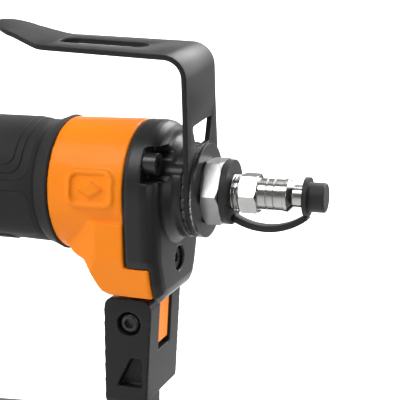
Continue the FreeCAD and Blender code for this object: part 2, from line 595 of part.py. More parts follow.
def belt_hook():
    """A bent strap; it is made upright and then turned about the inlet."""
    back = HOOK_BACK
    t = HOOK_THICKNESS
    inner_x = HOOK_FRONT
    rise = math.radians(HOOK_RISE)
    tip_rise = math.radians(HOOK_TIP_RISE)
    bend_x = inner_x - HOOK_BEND
    low_z = HOOK_HEIGHT - HOOK_BEND
    leg = vec(-math.cos(rise), 0, math.sin(rise))
    leg_up = vec(math.sin(rise), 0, math.cos(rise))
    centre = vec(bend_x, 0, low_z)
    elbow_in = centre + leg_up * HOOK_BEND
    elbow_out = centre + leg_up * (HOOK_BEND + t)
    mid = (X_AXIS + leg_up).normalize()
    knee_in = elbow_in + leg * HOOK_LEG
    knee_out = elbow_out + leg * HOOK_LEG
    tip = vec(-math.cos(tip_rise), 0, math.sin(tip_rise))
    end_in = knee_in + tip * HOOK_TIP
    end_out = knee_out + tip * HOOK_TIP
    edges = [
        Part.makeLine(vec(inner_x, 0, -HOOK_END_RADIUS), vec(inner_x, 0, low_z)),
        Part.Arc(vec(inner_x, 0, low_z), centre + mid * HOOK_BEND, elbow_in).toShape(),
        Part.makeLine(elbow_in, knee_in),
        Part.makeLine(knee_in, end_in),
        Part.makeLine(end_in, end_out),
        Part.makeLine(end_out, knee_out),
        Part.makeLine(knee_out, elbow_out),
        Part.Arc(elbow_out, centre + mid * (HOOK_BEND + t), vec(back, 0, low_z)).toShape(),
        Part.makeLine(vec(back, 0, low_z), vec(back, 0, -HOOK_END_RADIUS)),
        Part.makeLine(vec(back, 0, -HOOK_END_RADIUS), vec(inner_x, 0, -HOOK_END_RADIUS)),
    ]
    face = Part.Face(Part.Wire(edges))
    face.translate(vec(0, -HOOK_END_RADIUS, 0))
    strap = face.extrude(vec(0, 2 * HOOK_END_RADIUS, 0))
    for corner, radius in ((knee_in, HOOK_KNEE_RADIUS + t), (knee_out, HOOK_KNEE_RADIUS)):
        strap = round_edges(strap, radius, lambda edge, at=corner: edge.BoundBox.YLength > 10
                            and abs(edge.BoundBox.XMin - at.x) < 0.01 and abs(edge.BoundBox.ZMin - at.z) < 0.01)
    w = HOOK_HALF_WIDTH
    upright = join([
        rod(HOOK_END_RADIUS, inner_x - 1, back + 1),
        slab_yz([(-HOOK_END_RADIUS, 0), (-w, 34), (-w, 90), (w, 90), (w, 34), (HOOK_END_RADIUS, 0)],
                inner_x - 10, back + 1),
    ])
    tip_x = end_out.x
    knee_x = knee_out.x
    far = tip_x + HOOK_TIP_HALF_WIDTH
    knee_w = HOOK_KNEE_HALF_WIDTH
    plan = slab_xy([(back + 1, -w), (bend_x - 4, -w), (knee_x, -knee_w), (far, -HOOK_TIP_HALF_WIDTH),
                    (far, HOOK_TIP_HALF_WIDTH), (knee_x, knee_w), (bend_x - 4, w), (back + 1, w)],
                   20, 110).fuse(post(HOOK_TIP_HALF_WIDTH, 20, 110, far, 0))
    lower = strap.common(upright)
    upper = strap.common(plan)
    body = join([lower.cut(block(-10, inner_x - 9, -60, 60, -60, 200)), upper])
    slot_x = inner_x - HOOK_BEND - 17.2
    slot_end = slot_x - HOOK_SLOT_LENGTH + HOOK_SLOT_WIDTH
    half = HOOK_SLOT_WIDTH / 2
    slot = join([block(slot_end, slot_x, -half, half, 30, 110), post(half, 30, 110, slot_end, 0),
                 post(half, 30, 110, slot_x, 0)])
    window = slab_yz([(-11.5, 27.5), (11.5, 27.5), (7.5, 18.0), (-7.5, 18.0)], inner_x - 1, back + 1)
    window = round_edges(window, 1.2, along(X_AXIS))
    hole = rod(INLET_RADIUS + RUNNING_GAP, inner_x - 1, back + 1)
    body = cut(body, [slot, window, hole])
    body.rotate(vec(0, 0, 0), X_AXIS, HOOK_SWIVEL)
    return body


# ---- magazine bracket -----------------------------------------------------
def magazine_room(gap):
    """The magazine's envelope with some air round it, seen in the handle frame."""
    half = MAG_WIDTH / 2 + gap
    return in_handle(block(MAG_START, MAG_END + 60, -half, half, -20, MAG_TOP + gap))


def magazine_bracket():
    half = BRACKET_WIDTH / 2
    thick = slab_xz([(BRACKET_FRONT, -BRACKET_TOP), (BRACKET_REAR + BRACKET_FLARE, -BRACKET_TOP),
                     (BRACKET_REAR, -BRACKET_BLOCK), (BRACKET_FRONT, -BRACKET_BLOCK)], -half, half)
    thick = round_edges(thick, 4.0, lambda edge: edge.BoundBox.ZMin > -BRACKET_TOP - 0.01
                        and edge.BoundBox.YLength > 10)
    saddle = block(BRACKET_FRONT, BRACKET_REAR - 7, -half + EAR_STEP, half - EAR_STEP, -EAR_DEPTH, -BRACKET_BLOCK)
    body = cut(join([thick, saddle]), [magazine_room(0.0)])
    gap = FORK_GAP / 2
    recess = slab_xz([(BRACKET_FRONT + 5.2, -BRACKET_BLOCK + 6), (BRACKET_REAR - 2, -BRACKET_BLOCK + 6),
                      (BRACKET_REAR - 2, -BRACKET_BLOCK + 18), (BRACKET_REAR - 6.5, -BRACKET_BLOCK + 18)],
                     -half - 1, -half + 4)
    tools = [
        slab_xz([(BRACKET_FRONT - 1, -BRACKET_TOP + 1), (BRACKET_REAR + 6, -BRACKET_TOP + 1),
                 (BRACKET_REAR + 6, -LUG_DEPTH - 2.5), (BRACKET_FRONT - 1, -LUG_DEPTH - 2.5)], -gap, gap),
        pin(BRACKET_SCREW_RADIUS, -half - 1, half + 1, BRACKET_MIDDLE, -BRACKET_SCREW_DROP),
        pin(BRACKET_SCREW_HEAD + 0.8, -half - 1, -half + 3.5, BRACKET_MIDDLE, -BRACKET_SCREW_DROP),
        pin(BRACKET_SCREW_HEAD + 0.8, half - 3.5, half + 1, BRACKET_MIDDLE, -BRACKET_SCREW_DROP),
        recess,
        recess.mirror(vec(0, 0, 0), Y_AXIS),
    ]
    for x, z in EAR_SCREWS:
        tools.append(pin(PIN_RADIUS, -half - 1, half + 1, x, z))
    return cut(body, tools)


def bracket_screw():
    half = BRACKET_WIDTH / 2
    head = -half + 3.5
    screw = pin(BRACKET_SCREW_RADIUS, head - 1, half - 3.5, BRACKET_MIDDLE, -BRACKET_SCREW_DROP)
    dome = pin(BRACKET_SCREW_HEAD, head - 2.8, head, BRACKET_MIDDLE, -BRACKET_SCREW_DROP)
    dome = round_edges(dome, 1.6, lambda edge: edge.BoundBox.YMax < head - 2.7)
    key = [(BRACKET_MIDDLE + x, -BRACKET_SCREW_DROP + z) for x, z in ring_places(2.3, range(0, 360, 60))]
    return cut(join([screw, dome]), [slab_xz(key, head - 4, head - 0.8)])


def bracket_nut():
    half = BRACKET_WIDTH / 2
    points = [(BRACKET_MIDDLE + x, -BRACKET_SCREW_DROP + z)
              for x, z in ring_places(BRACKET_SCREW_HEAD - 0.1, range(0, 360, 60))]
    return cut(slab_xz(points, half - 3.5, half - 0.5),
               [pin(BRACKET_SCREW_RADIUS, half - 5, half - 3.5 + 0.02, BRACKET_MIDDLE, -BRACKET_SCREW_DROP)])


# ---- head: cylinder, piston, valve and cap (driver frame) -----------------
def cylinder_sleeve():
    bottom = BARREL_BOTTOM + NOSE_FLANGE
    tube = post(SLEEVE_RADIUS, bottom, SLEEVE_TOP)
    collar = post(BARREL_BORE - RUNNING_GAP, SLEEVE_TOP - 26 - SLEEVE_COLLAR, SLEEVE_TOP - 26)
    groove = post(BARREL_BORE + 1, SLEEVE_TOP - 32, SLEEVE_TOP - 28).cut(post(BARREL_BORE - 2.5, 0, 300))
    ports = []
    for angle in range(0, 360, 45):
        x, y = ring_places(SLEEVE_RADIUS, [angle + 22.5])[0]
        hole = Part.makeCylinder(1.6, 8, vec(x, y, bottom + BUMPER_HEIGHT + 6), vec(-x, -y, 0))
        ports.append(hole)
    return cut(join([tube, collar]), [post(BORE_RADIUS, bottom - 1, SLEEVE_TOP + 1), groove] + ports)


def o_ring(major, minor, z):
    """A round-section ring about the driver axis."""
    return Part.makeTorus(major, minor, vec(0, 0, z), Z_AXIS)


def sleeve_seal():
    return o_ring(BARREL_BORE - 2.5 + 1.2, 1.2, SLEEVE_TOP - 30)


def piston():
    top = PISTON_REST + PISTON_HEIGHT
    body = join([post(BORE_RADIUS - RUNNING_GAP, PISTON_REST, top), post(8, PISTON_REST - 6, PISTON_REST)])
    groove = post(BORE_RADIUS + 1, PISTON_REST + 6, PISTON_REST + 6 + 2 * RING_SECTION)
    groove = groove.cut(post(BORE_RADIUS - 2 * RING_SECTION, 0, 300))
    slot = block(-DRIVER_THICKNESS / 2, DRIVER_THICKNESS / 2, -DRIVER_WIDTH / 2, DRIVER_WIDTH / 2,
                 PISTON_REST - 7, PISTON_REST + 4)
    return cut(body, [groove, slot, post(14, top - 4, top + 1)])


def piston_ring():
    ring = o_ring(BORE_RADIUS - RUNNING_GAP - RING_SECTION, RING_SECTION - 0.05, PISTON_REST + 6 + RING_SECTION)
    return ring


def driver_blade():
    half = DRIVER_WIDTH / 2
    blade = block(-DRIVER_THICKNESS / 2, DRIVER_THICKNESS / 2, -half, half, BLADE_TIP, PISTON_REST + 4)
    return round_edges(blade, 0.3, lambda edge: edge.BoundBox.ZMax < BLADE_TIP + 0.1
                       and edge.BoundBox.YLength > 2)


def bumper():
    bottom = BARREL_BOTTOM + NOSE_FLANGE
    ring = cone_z(BORE_RADIUS - 0.4, BORE_RADIUS - 4, bottom, bottom + BUMPER_HEIGHT)
    return cut(ring, [post(10, bottom - 1, bottom + BUMPER_HEIGHT + 1)])


def head_valve():
    low = SLEEVE_TOP + 1.6
    body = join([post(VALVE_RADIUS, low, low + VALVE_HEIGHT), post(VALVE_STEM_RADIUS, low, low + VALVE_HEIGHT + VALVE_SPRING)])
    groove = post(VALVE_RADIUS + 1, low + 7, low + 10).cut(post(VALVE_RADIUS - 2.6, 0, 300))
    return cut(body, [groove, post(VALVE_STEM_RADIUS - 2.5, low + 3, low + VALVE_HEIGHT + 10)])


def head_valve_seal():
    low = SLEEVE_TOP
    return cut(post(SLEEVE_RADIUS + 2, low, low + 1.6), [post(BORE_RADIUS - 2, low - 1, low + 3)])


def head_valve_ring():
    return o_ring(VALVE_RADIUS - 1.4, 1.2, SLEEVE_TOP + 1.6 + 8.5)


def head_valve_spring():
    low = SLEEVE_TOP + 1.6 + VALVE_HEIGHT
    return cut(post(15, low, low + VALVE_SPRING), [post(12.5, low - 1, low + 30)])


def head_cap():
    outer = post(BARREL_RADIUS + 2, CAP_BOTTOM, CAP_TOP)
    outer = round_edges(outer, 7.0, lambda edge: edge.BoundBox.ZMin > CAP_TOP - 0.01)
    chamber_top = SLEEVE_TOP + 1.6 + VALVE_HEIGHT + VALVE_TRAVEL + VALVE_SPRING + 0.4
    tools = [
        post(VALVE_RADIUS + RUNNING_GAP, CAP_BOTTOM - 1, SLEEVE_TOP + 1.6 + VALVE_HEIGHT + VALVE_TRAVEL + 0.4),
        post(15.6, CAP_BOTTOM, chamber_top),
        post(4.5, CAP_BOTTOM, CAP_TOP - 4),
    ]
    for x, y in ring_places(CAP_SCREW_CIRCLE, SCREW_ANGLES):
        tools.append(post(CAP_SCREW_RADIUS + CLEARANCE, CAP_BOTTOM - 1, CAP_TOP + 1, x, y))
        tools.append(post(CAP_SCREW_HEAD + 0.8, CAP_TOP - 12, CAP_TOP + 1, x, y))
    fins = []
    for step in range(5):
        z = CAP_BOTTOM + 6 + step * 4.4
        ring = post(BARREL_RADIUS + 4, z, z + 1.8).cut(post(BARREL_RADIUS + 0.4, z - 1, z + 3))
        fins.append(ring.common(block(-60, 0, -24, 24, z - 1, z + 3)))
    tools.append(post(2.1, CAP_TOP - 9, CAP_TOP + 1))
    return cut(outer, tools + fins)


def head_cap_gasket():
    ring = cut(post(BARREL_RADIUS + 1, BARREL_TOP, CAP_BOTTOM), [post(VALVE_RADIUS + 1, 0, 300)])
    return cut(ring, [post(CAP_SCREW_RADIUS + CLEARANCE, 0, 300, x, y)
                      for x, y in ring_places(CAP_SCREW_CIRCLE, SCREW_ANGLES)])


def upright_screw(x, y, seat, length, down=True):
    """A socket screw along the driver axis whose head rests on a seat."""
    screw = socket_screw(CAP_SCREW_RADIUS, CAP_SCREW_HEAD, 5.0, length, 4.0)
    screw.rotate(vec(0, 0, 0), Y_AXIS, -90 if down else 90)
    screw.translate(vec(x, y, seat))
    return screw


def head_cap_bolts():
    seat = CAP_TOP - 12
    return Part.makeCompound([upright_screw(x, y, seat, seat - BARREL_TOP + 14)
                              for x, y in ring_places(CAP_SCREW_CIRCLE, SCREW_ANGLES)])


def exhaust_deflector():
    low = CAP_TOP + RUNNING_GAP
    drum = post(DEFLECTOR_RADIUS, low, low + DEFLECTOR_HEIGHT)
    drum = round_edges(drum, 3.0, lambda edge: edge.BoundBox.ZMin > low + DEFLECTOR_HEIGHT - 0.01)
    inside = post(DEFLECTOR_RADIUS - 2.2, low - 1, low + DEFLECTOR_HEIGHT - 2.5).cut(post(6.5, 0, 300))
    mouth = []
    for y in (-13, -6.5, 0, 6.5, 13):
        mouth.append(block(-60, -8, y - 2.2, y + 2.2, low + 3, low + DEFLECTOR_HEIGHT - 5))
    hole = post(2.1 + RUNNING_GAP, 0, 300)
    return cut(drum, [inside, hole, post(5.0, low + DEFLECTOR_HEIGHT - 4, 300)] + mouth)


def deflector_screw():
    seat = CAP_TOP + RUNNING_GAP + DEFLECTOR_HEIGHT - 4
    screw = join([post(2.1, CAP_TOP - 8, seat), post(4.2, seat, seat + 3.0)])
    key = ring_places(1.7, range(0, 360, 60))
    return cut(screw, [slab_xy(key, seat + 1.2, seat + 5)])


# ---- nose (driver frame) --------------------------------------------------
def sole_cut():
    """Everything below the sole plane, seen in the driver frame."""
    ground = block(-200, 200, -100, 100, -200, NOSE_TIP_LIFT)
    ground.Placement = TOOL.inverse().multiply(ground.Placement)
    return ground


def nose_body():
    half = NOSE_WIDTH / 2
    front = -NOSE_DEPTH / 2
    flange_low = BARREL_BOTTOM - NOSE_FLANGE
    column = block(front + NOSE_DOOR, MAG_START, -half, half, -20, BARREL_BOTTOM - 1)
    cheeks = block(MAG_START - 1, MAG_START + 26, -half, half, MAG_BOTTOM + 8, flange_low + 1)
    flange = post(NOSE_FLANGE_RADIUS + 3, flange_low, BARREL_BOTTOM)
    spigot = post(SLEEVE_RADIUS + 5 - RUNNING_GAP, BARREL_BOTTOM - 1, BARREL_BOTTOM + NOSE_FLANGE)
    parts = [column, cheeks, flange, spigot]
    reach = half + 0.4 + EAR_PLATE
    for side in (-1, 1):
        y0, y1 = sorted((side * 9.0, side * reach))
        parts.append(pin(PIN_RADIUS, y0, y1, LATCH_STUD_X, LATCH_STUD_Z))
        y0, y1 = sorted((side * 7.2, side * 12.0))
        parts.append(block(DOOR_PIVOT_X - 4, DOOR_PIVOT_X + 4, y0, y1, DOOR_PIVOT_Z, flange_low + 1))
        parts.append(pin(4.0, y0, y1, DOOR_PIVOT_X, DOOR_PIVOT_Z))
    body = join(parts)
    slide = DRIVER_WIDTH / 2 + RUNNING_GAP
    track = block(front, DRIVER_THICKNESS / 2 + RUNNING_GAP, -slide, slide, -30, flange_low + 2)
    guide = block(-DRIVER_THICKNESS / 2 - RUNNING_GAP, DRIVER_THICKNESS / 2 + RUNNING_GAP, -slide, slide,
                  flange_low, BARREL_BOTTOM + 1)
    throat = post(9.0, flange_low + 2, BARREL_BOTTOM + NOSE_FLANGE + 1)
    feed = block(0, MAG_START + 1, -slide, slide, MAG_BOTTOM + MAG_WALL, MAG_TOP - MAG_WALL)
    seat = block(MAG_START, 60, -MAG_WIDTH / 2, MAG_WIDTH / 2, MAG_BOTTOM - 30, MAG_TOP)
    tools = [track, guide, throat, feed, seat, sole_cut(),
             pin(PIN_RADIUS, -half - 1, half + 1, DOOR_PIVOT_X, DOOR_PIVOT_Z)]
    for x, y in ring_places(CAP_SCREW_CIRCLE, SCREW_ANGLES):
        tools.append(post(CAP_SCREW_RADIUS, flange_low - 1, BARREL_BOTTOM + 1, x, y))
    for z in ARM_SCREW_HEIGHTS:
        tools.append(pin(1.5, half - 5, half + 1, ARM_SCREW_X, z))
    for x, z in MAG_SCREWS:
        tools.append(pin(PIN_RADIUS, -half - 1, half + 1, x, z))
    return cut(body, tools)


def nose_bolts():
    seat = BARREL_BOTTOM - NOSE_FLANGE
    return Part.makeCompound([upright_screw(x, y, seat, NOSE_FLANGE + 12, False)
                              for x, y in ring_places(CAP_SCREW_CIRCLE, SCREW_ANGLES)])


# ---- jam-clearing door and its latch --------------------------------------
def door_hinge_pin():
    return pin(PIN_RADIUS, -NOSE_WIDTH / 2, NOSE_WIDTH / 2, DOOR_PIVOT_X, DOOR_PIVOT_Z)


def nose_door():
    half = NOSE_WIDTH / 2
    front = -NOSE_DEPTH / 2
    top = DOOR_PIVOT_Z - 1
    plate = block(front, front + NOSE_DOOR - RUNNING_GAP, -half, half, -20, top)
    rib = block(front, -DRIVER_THICKNESS / 2 - RUNNING_GAP, -DRIVER_WIDTH / 2, DRIVER_WIDTH / 2, -20, top - 2)
    knuckle = pin(4.0, -7.0, 7.0, DOOR_PIVOT_X, DOOR_PIVOT_Z)
    neck = block(DOOR_PIVOT_X - 2, front + 1, -7.0, 7.0, top - 8, top)
    parts = [plate, rib, knuckle, neck]
    for side in (-1, 1):
        y0, y1 = sorted((side * 8.0, side * 12.0))
        parts.append(pin(3.8, y0, y1, DOOR_PIVOT_X, LATCH_PIVOT_Z))
        parts.append(block(DOOR_PIVOT_X, front + 1, y0, y1, LATCH_PIVOT_Z - 3.8, LATCH_PIVOT_Z + 3.8))
    body = join(parts)
    tools = [pin(PIN_RADIUS + RUNNING_GAP, -20, 20, DOOR_PIVOT_X, DOOR_PIVOT_Z),
             pin(PIN_RADIUS, -20, 20, DOOR_PIVOT_X, LATCH_PIVOT_Z), sole_cut()]
    return cut(body, tools)


def latch_pin():
    half = NOSE_WIDTH / 2 + 0.4 + EAR_PLATE
    return pin(PIN_RADIUS, -half, half, DOOR_PIVOT_X, LATCH_PIVOT_Z)


def latch_lever():
    """A pressed thumb lever; its two ears tuck in below the studs on the nose."""
    inner = NOSE_WIDTH / 2 + 0.4
    outer = inner + EAR_PLATE
    x0 = DOOR_PIVOT_X
    z0 = LATCH_PIVOT_Z
    reach = math.hypot(LATCH_STUD_X - x0, LATCH_STUD_Z - z0) + 1.5
    stud_angle = math.degrees(math.atan2(LATCH_STUD_Z - z0, LATCH_STUD_X - x0))
    under = stud_angle - math.degrees(math.asin((PIN_RADIUS + 0.1) / (reach - 1.5)))
    wedge = [(x0, z0)]
    for angle in (under, under - 20, under - 40):
        turn = math.radians(angle)
        wedge.append((x0 + 2 * reach * math.cos(turn), z0 + 2 * reach * math.sin(turn)))
    parts = []
    for side in (-1, 1):
        y0, y1 = sorted((side * inner, side * outer))
        parts.append(slab_xz(wedge, y0, y1).common(pin(reach, y0, y1, x0, z0)))
        parts.append(pin(5.0, y0, y1, x0, z0))
        parts.append(slab_xz([(x0 - 5, z0), (x0 - 5, z0 - LEVER_LENGTH), (x0 - 1, z0 - LEVER_LENGTH),
                              (x0 + 2, z0 - 3)], y0, y1))
    parts.append(block(x0 - 5, x0 - 3.4, -outer, outer, z0 - LEVER_LENGTH, z0 - 6))
    return cut(join(parts), [pin(PIN_RADIUS + RUNNING_GAP, -20, 20, x0, z0)])


# ---- contact arm (driver frame) -------------------------------------------
def contact_arm():
    """The safety strap: its foot feels the board, its rod frees the trigger."""
    shelf_top = BARREL_BOTTOM - NOSE_FLANGE - ARM_TRAVEL - 1
    foot = block(-4, 9, ARM_INNER, ARM_OUTER, -20, shelf_top)
    bridge = block(-4, ARM_ROD_X + 4, ARM_INNER, ARM_OUTER, shelf_top - 10, shelf_top)
    shelf = block(ARM_ROD_X - 4, ARM_ROD_X + 4, ARM_MIDDLE - 4, ARM_MIDDLE + 4, shelf_top - 3, shelf_top)
    stem = post(ARM_ROD_RADIUS, shelf_top - 2, ARM_TOP, ARM_ROD_X, ARM_MIDDLE)
    finger = block(ARM_ROD_X - 3, ARM_ROD_X + 3, -4, ARM_MIDDLE + 3, ARM_TOP - 3, ARM_TOP)
    tools = [sole_cut()]
    for z in ARM_SCREW_HEIGHTS:
        tools.append(block(ARM_SCREW_X - 1.8, ARM_SCREW_X + 1.8, ARM_INNER - 1, ARM_OUTER + 1,
                           z - ARM_TRAVEL - 2, z + 2))
    return cut(join([foot, bridge, shelf, stem, finger]), tools)


def contact_arm_screws():
    """Shoulder screws that guide the arm on the side of the nose."""
    half = NOSE_WIDTH / 2
    screws = []
    for z in ARM_SCREW_HEIGHTS:
        screws.append(join([pin(1.5, half - 5, half + 1, ARM_SCREW_X, z),
                            pin(1.7, half, ARM_OUTER + 0.3, ARM_SCREW_X, z),
                            pin(3.4, half, ARM_INNER - 0.2, ARM_SCREW_X, z),
                            pin(3.6, ARM_OUTER + 0.2, ARM_OUTER + 2.2, ARM_SCREW_X, z)]))
    return Part.makeCompound(screws)


def depth_wheel():
    """A knurled wheel on the arm's rod that sets how deep the cleat goes."""
    z0 = MAG_TOP + 20
    wheel = post(WHEEL_RADIUS, z0, z0 + 8, ARM_ROD_X, ARM_MIDDLE)
    notches = []
    for x, y in ring_places(WHEEL_RADIUS + 0.6, range(0, 360, 20)):
        notches.append(post(1.1, z0 - 1, z0 + 9, ARM_ROD_X + x, ARM_MIDDLE + y))
    hole = post(ARM_ROD_RADIUS + RUNNING_GAP, z0 - 1, z0 + 9, ARM_ROD_X, ARM_MIDDLE)
    return cut(wheel, notches + [hole])


# ---- magazine (driver frame) ----------------------------------------------
def magazine_body():
    half = MAG_WIDTH / 2
    shell = block(MAG_START, MAG_END, -half, half, MAG_BOTTOM, MAG_TOP)
    shell = round_edges(shell, 1.5, along(X_AXIS))
    channel = block(MAG_START - 1, MAG_END + 1, -half + MAG_WALL, half - MAG_WALL,
                    MAG_BOTTOM + MAG_WALL, MAG_TOP - MAG_WALL)
    slot_half = MAG_SLOT / 2
    slot = block(KNOB_X - 8, KNOB_X + PUSHER_TRAVEL + 8, -half - 1, -half + MAG_WALL + 1,
                 MAG_MIDDLE - slot_half, MAG_MIDDLE + slot_half)
    tools = [channel, slot]
    for step in range(9):
        tools.append(pin(2.6, -half - 1, half + 1, MAG_START + 100 + step * 14, MAG_BOTTOM + 12))
    for x, z in MAG_SCREWS:
        tools.append(pin(PIN_RADIUS, -half - 1, half + 1, x, z))
    for x, z in EAR_SCREWS:
        at = FROM_TOOL_TO_HANDLE.inverse().multVec(vec(x, 0, z))
        tools.append(pin(PIN_RADIUS, -half - 1, half + 1, at.x, at.z))
    tools.append(pin(3.0, -half - 1, half + 1, STRUT_BOLT_X, STRUT_BOLT_Z))
    return cut(shell, tools)


def magazine_rail():
    """The hardened strip that the cleat points slide on."""
    half = MAG_WIDTH / 2 - MAG_WALL
    low = MAG_BOTTOM + MAG_WALL
    strip = block(MAG_START + 1, MAG_END - 1, -half, half, low, low + 1.5)
    return cut(strip, [block(MAG_START, MAG_END, -2, 2, low + 0.8, low + 3)])


def magazine_screws():
    """Button screws that hold the magazine in the nose cheeks and the bracket's ears."""
    saddle = BRACKET_WIDTH / 2 - EAR_STEP
    places = [(x, z, NOSE_WIDTH / 2) for x, z in MAG_SCREWS]
    for x, z in EAR_SCREWS:
        at = FROM_TOOL_TO_HANDLE.inverse().multVec(vec(x, 0, z))
        places.append((at.x, at.z, saddle))
    screws = []
    for x, z, seat in places:
        screw = join([pin(PIN_RADIUS, MAG_WIDTH / 2 - MAG_WALL + 0.2, seat, x, z),
                      pin(3.5, seat, seat + 2.0, x, z)])
        key = [(x + a, z + b) for a, b in ring_places(1.4, range(0, 360, 60))]
        screw = cut(screw, [slab_xz(key, seat + 0.8, seat + 4)])
        screws += [screw, screw.mirror(vec(0, 0, 0), Y_AXIS)]
    return Part.makeCompound(screws)


def magazine_end_cap():
    half = MAG_WIDTH / 2
    outer = block(MAG_END, MAG_END + 9, -half - 1, half + 1, MAG_BOTTOM - 1, MAG_TOP + 1)
    outer = round_edges(outer, 3.0, lambda edge: edge.BoundBox.XMin > MAG_END + 8.9)
    tongue = block(MAG_END - 6, MAG_END + 1, -half + MAG_WALL + RUNNING_GAP, half - MAG_WALL - RUNNING_GAP,
                   MAG_BOTTOM + MAG_WALL + 1.5, MAG_TOP - MAG_WALL - RUNNING_GAP)
    mouth = block(MAG_END - 7, MAG_END + 10, -4.5, 4.5, MAG_BOTTOM + 6, MAG_TOP - 6)
    return cut(join([outer, tongue]), [mouth])


def pusher():
    half = MAG_WIDTH / 2 - MAG_WALL - 0.1
    body = block(PUSHER_REST, PUSHER_REST + PUSHER_LENGTH, -half, half,
                 MAG_BOTTOM + MAG_WALL + 1.6, MAG_TOP - MAG_WALL - 0.1)
    nest = pin(SPRING_RADIUS + 0.6, -half + 2, half - 2, SPRING_X, MAG_MIDDLE)
    mouth = block(SPRING_X, SPRING_X + 40, -half + 2, half - 2, MAG_MIDDLE - 12, MAG_MIDDLE + 12)
    return cut(body, [nest, mouth, pin(2.5, -half - 1, -half + 3, KNOB_X, MAG_MIDDLE)])


def pusher_blade():
    return block(PUSHER_REST - 2, PUSHER_REST, -DRIVER_WIDTH / 2 + 0.1, DRIVER_WIDTH / 2 - 0.1,
                 MAG_BOTTOM + MAG_WALL + 1.6, MAG_TOP - MAG_WALL - 1)


def pusher_knob():
    half = MAG_WIDTH / 2
    shank = pin(2.5, -half - 2, -half + MAG_WALL + 2.1, KNOB_X, MAG_MIDDLE)
    collar = pin(3.3, -half - 2, -half + MAG_WALL + 0.1, KNOB_X, MAG_MIDDLE)
    grip = pin(7.0, -half - 13, -half - 0.6, KNOB_X, MAG_MIDDLE)
    grip = round_edges(grip, 2.0, lambda edge: edge.BoundBox.YMax < -half - 12.9)
    return join([shank, collar, grip])


def pusher_spring():
    """A constant-force ribbon, rolled up behind the pusher."""
    half = MAG_WIDTH / 2 - MAG_WALL - 2.6
    return cut(pin(SPRING_RADIUS, -half, half, SPRING_X, MAG_MIDDLE),
               [pin(4.0, -half - 1, half + 1, SPRING_X, MAG_MIDDLE)])


# ---- trigger group (handle frame) -----------------------------------------
def trigger():
    half = TRIGGER_WIDTH / 2
    x0 = TRIGGER_PIVOT_X
    z0 = -TRIGGER_PIVOT_DROP
    outline = [(x0 - 4, z0 - 3), (x0 - 3, z0 + 3), (VALVE_X + 6, z0 + 3), (x0 + 41, z0 - 1),
               (x0 + 43, z0 - 4), (x0 + 30, z0 - 7), (x0 + 19, z0 - 12), (x0 + 8, z0 - 13), (x0, z0 - 9)]
    body = round_edges(slab_xz(outline, -half, half), 1.2, along(Y_AXIS))
    body = round_edges(body, 1.0, lambda edge: edge.BoundBox.YLength < 0.01 and edge.BoundBox.ZMax < z0 - 2)
    return cut(body, [pin(PIN_RADIUS + RUNNING_GAP, -half - 1, half + 1, x0, z0)])


def trigger_pin():
    half = TRIGGER_WIDTH / 2 + 4
    return pin(PIN_RADIUS, -half, half, TRIGGER_PIVOT_X, -TRIGGER_PIVOT_DROP)


def trigger_valve():
    body = post(VALVE_BODY_RADIUS, -VALVE_FACE, -RESERVOIR_RADIUS + 3, VALVE_X, 0)
    return cut(body, [post(STEM_RADIUS + RUNNING_GAP, -VALVE_FACE - 1, 0, VALVE_X, 0)])


def trigger_stem():
    low = -TRIGGER_PIVOT_DROP + 3 + RUNNING_GAP
    stem = post(STEM_RADIUS, low, -RESERVOIR_RADIUS + 4.0, VALVE_X, 0)
    return round_edges(stem, 0.8, lambda edge: edge.BoundBox.ZMax < low + 0.01)


# ---- floor shoe (world frame) ---------------------------------------------
def tool_point(x, z):
    """A point of the driver frame, in world coordinates."""
    moved = TOOL.multVec(vec(x, 0, z))
    return (moved.x, moved.z)


def horseshoe(z0, z1, inset):
    """The shoe's outline: a plate with a slot for the nose, open to the front."""
    half = SHOE_HALF_WIDTH - inset
    slot = SHOE_SLOT_HALF_WIDTH
    front = SHOE_FRONT + inset
    rear = SHOE_REAR - inset
    plate = slab_xy([(front, -half), (rear - 14, -half), (rear, -half + 18), (rear, half - 18),
                     (rear - 14, half), (front, half)], z0, z1)
    plate = plate.cut(block(front - 1, SHOE_SLOT_REAR, -slot, slot, z0 - 1, z1 + 1))
    plate = round_edges(plate, 5.0, lambda edge: edge.BoundBox.ZLength > 1 and edge.BoundBox.XMax < front + 1)
    return round_edges(plate, 8.0, lambda edge: edge.BoundBox.ZLength > 1 and edge.BoundBox.XMax > SHOE_SLOT_REAR - 1)


def shoe_plate():
    low = SOLE_THICKNESS
    plate = horseshoe(low, low + SHOE_THICKNESS, 0.0)
    tools = []
    for x, y in SOLE_SCREWS:
        tools.append(post(PIN_RADIUS, low - 1, low + 20, x, y))
    for x, y in STRUT_SCREWS:
        tools.append(post(PIN_RADIUS, low + 1, low + 20, x, y))
    return cut(plate, tools)


def sole_pad():
    """The no-mar plastic sole."""
    pad = horseshoe(0.0, SOLE_THICKNESS, 0.8)
    return round_edges(pad, 1.0, lambda edge: edge.BoundBox.ZMax < 0.01)


def shoe_screws():
    """Button screws: six go through the plate into the sole, four hold the struts."""
    top = SOLE_THICKNESS + SHOE_THICKNESS
    places = [(x, y, SOLE_THICKNESS, top) for x, y in SOLE_SCREWS]
    places += [(x, y, SOLE_THICKNESS + 1.2, top + RAIL_THICKNESS) for x, y in STRUT_SCREWS]
    screws = []
    for x, y, low, seat in places:
        screw = join([post(PIN_RADIUS, low, seat, x, y), post(3.8, seat, seat + 2.2, x, y)])
        key = [(x + a, y + b) for a, b in ring_places(1.6, range(0, 360, 60))]
        screws.append(cut(screw, [slab_xy(key, seat + 0.8, seat + 4)]))
    return Part.makeCompound(screws)


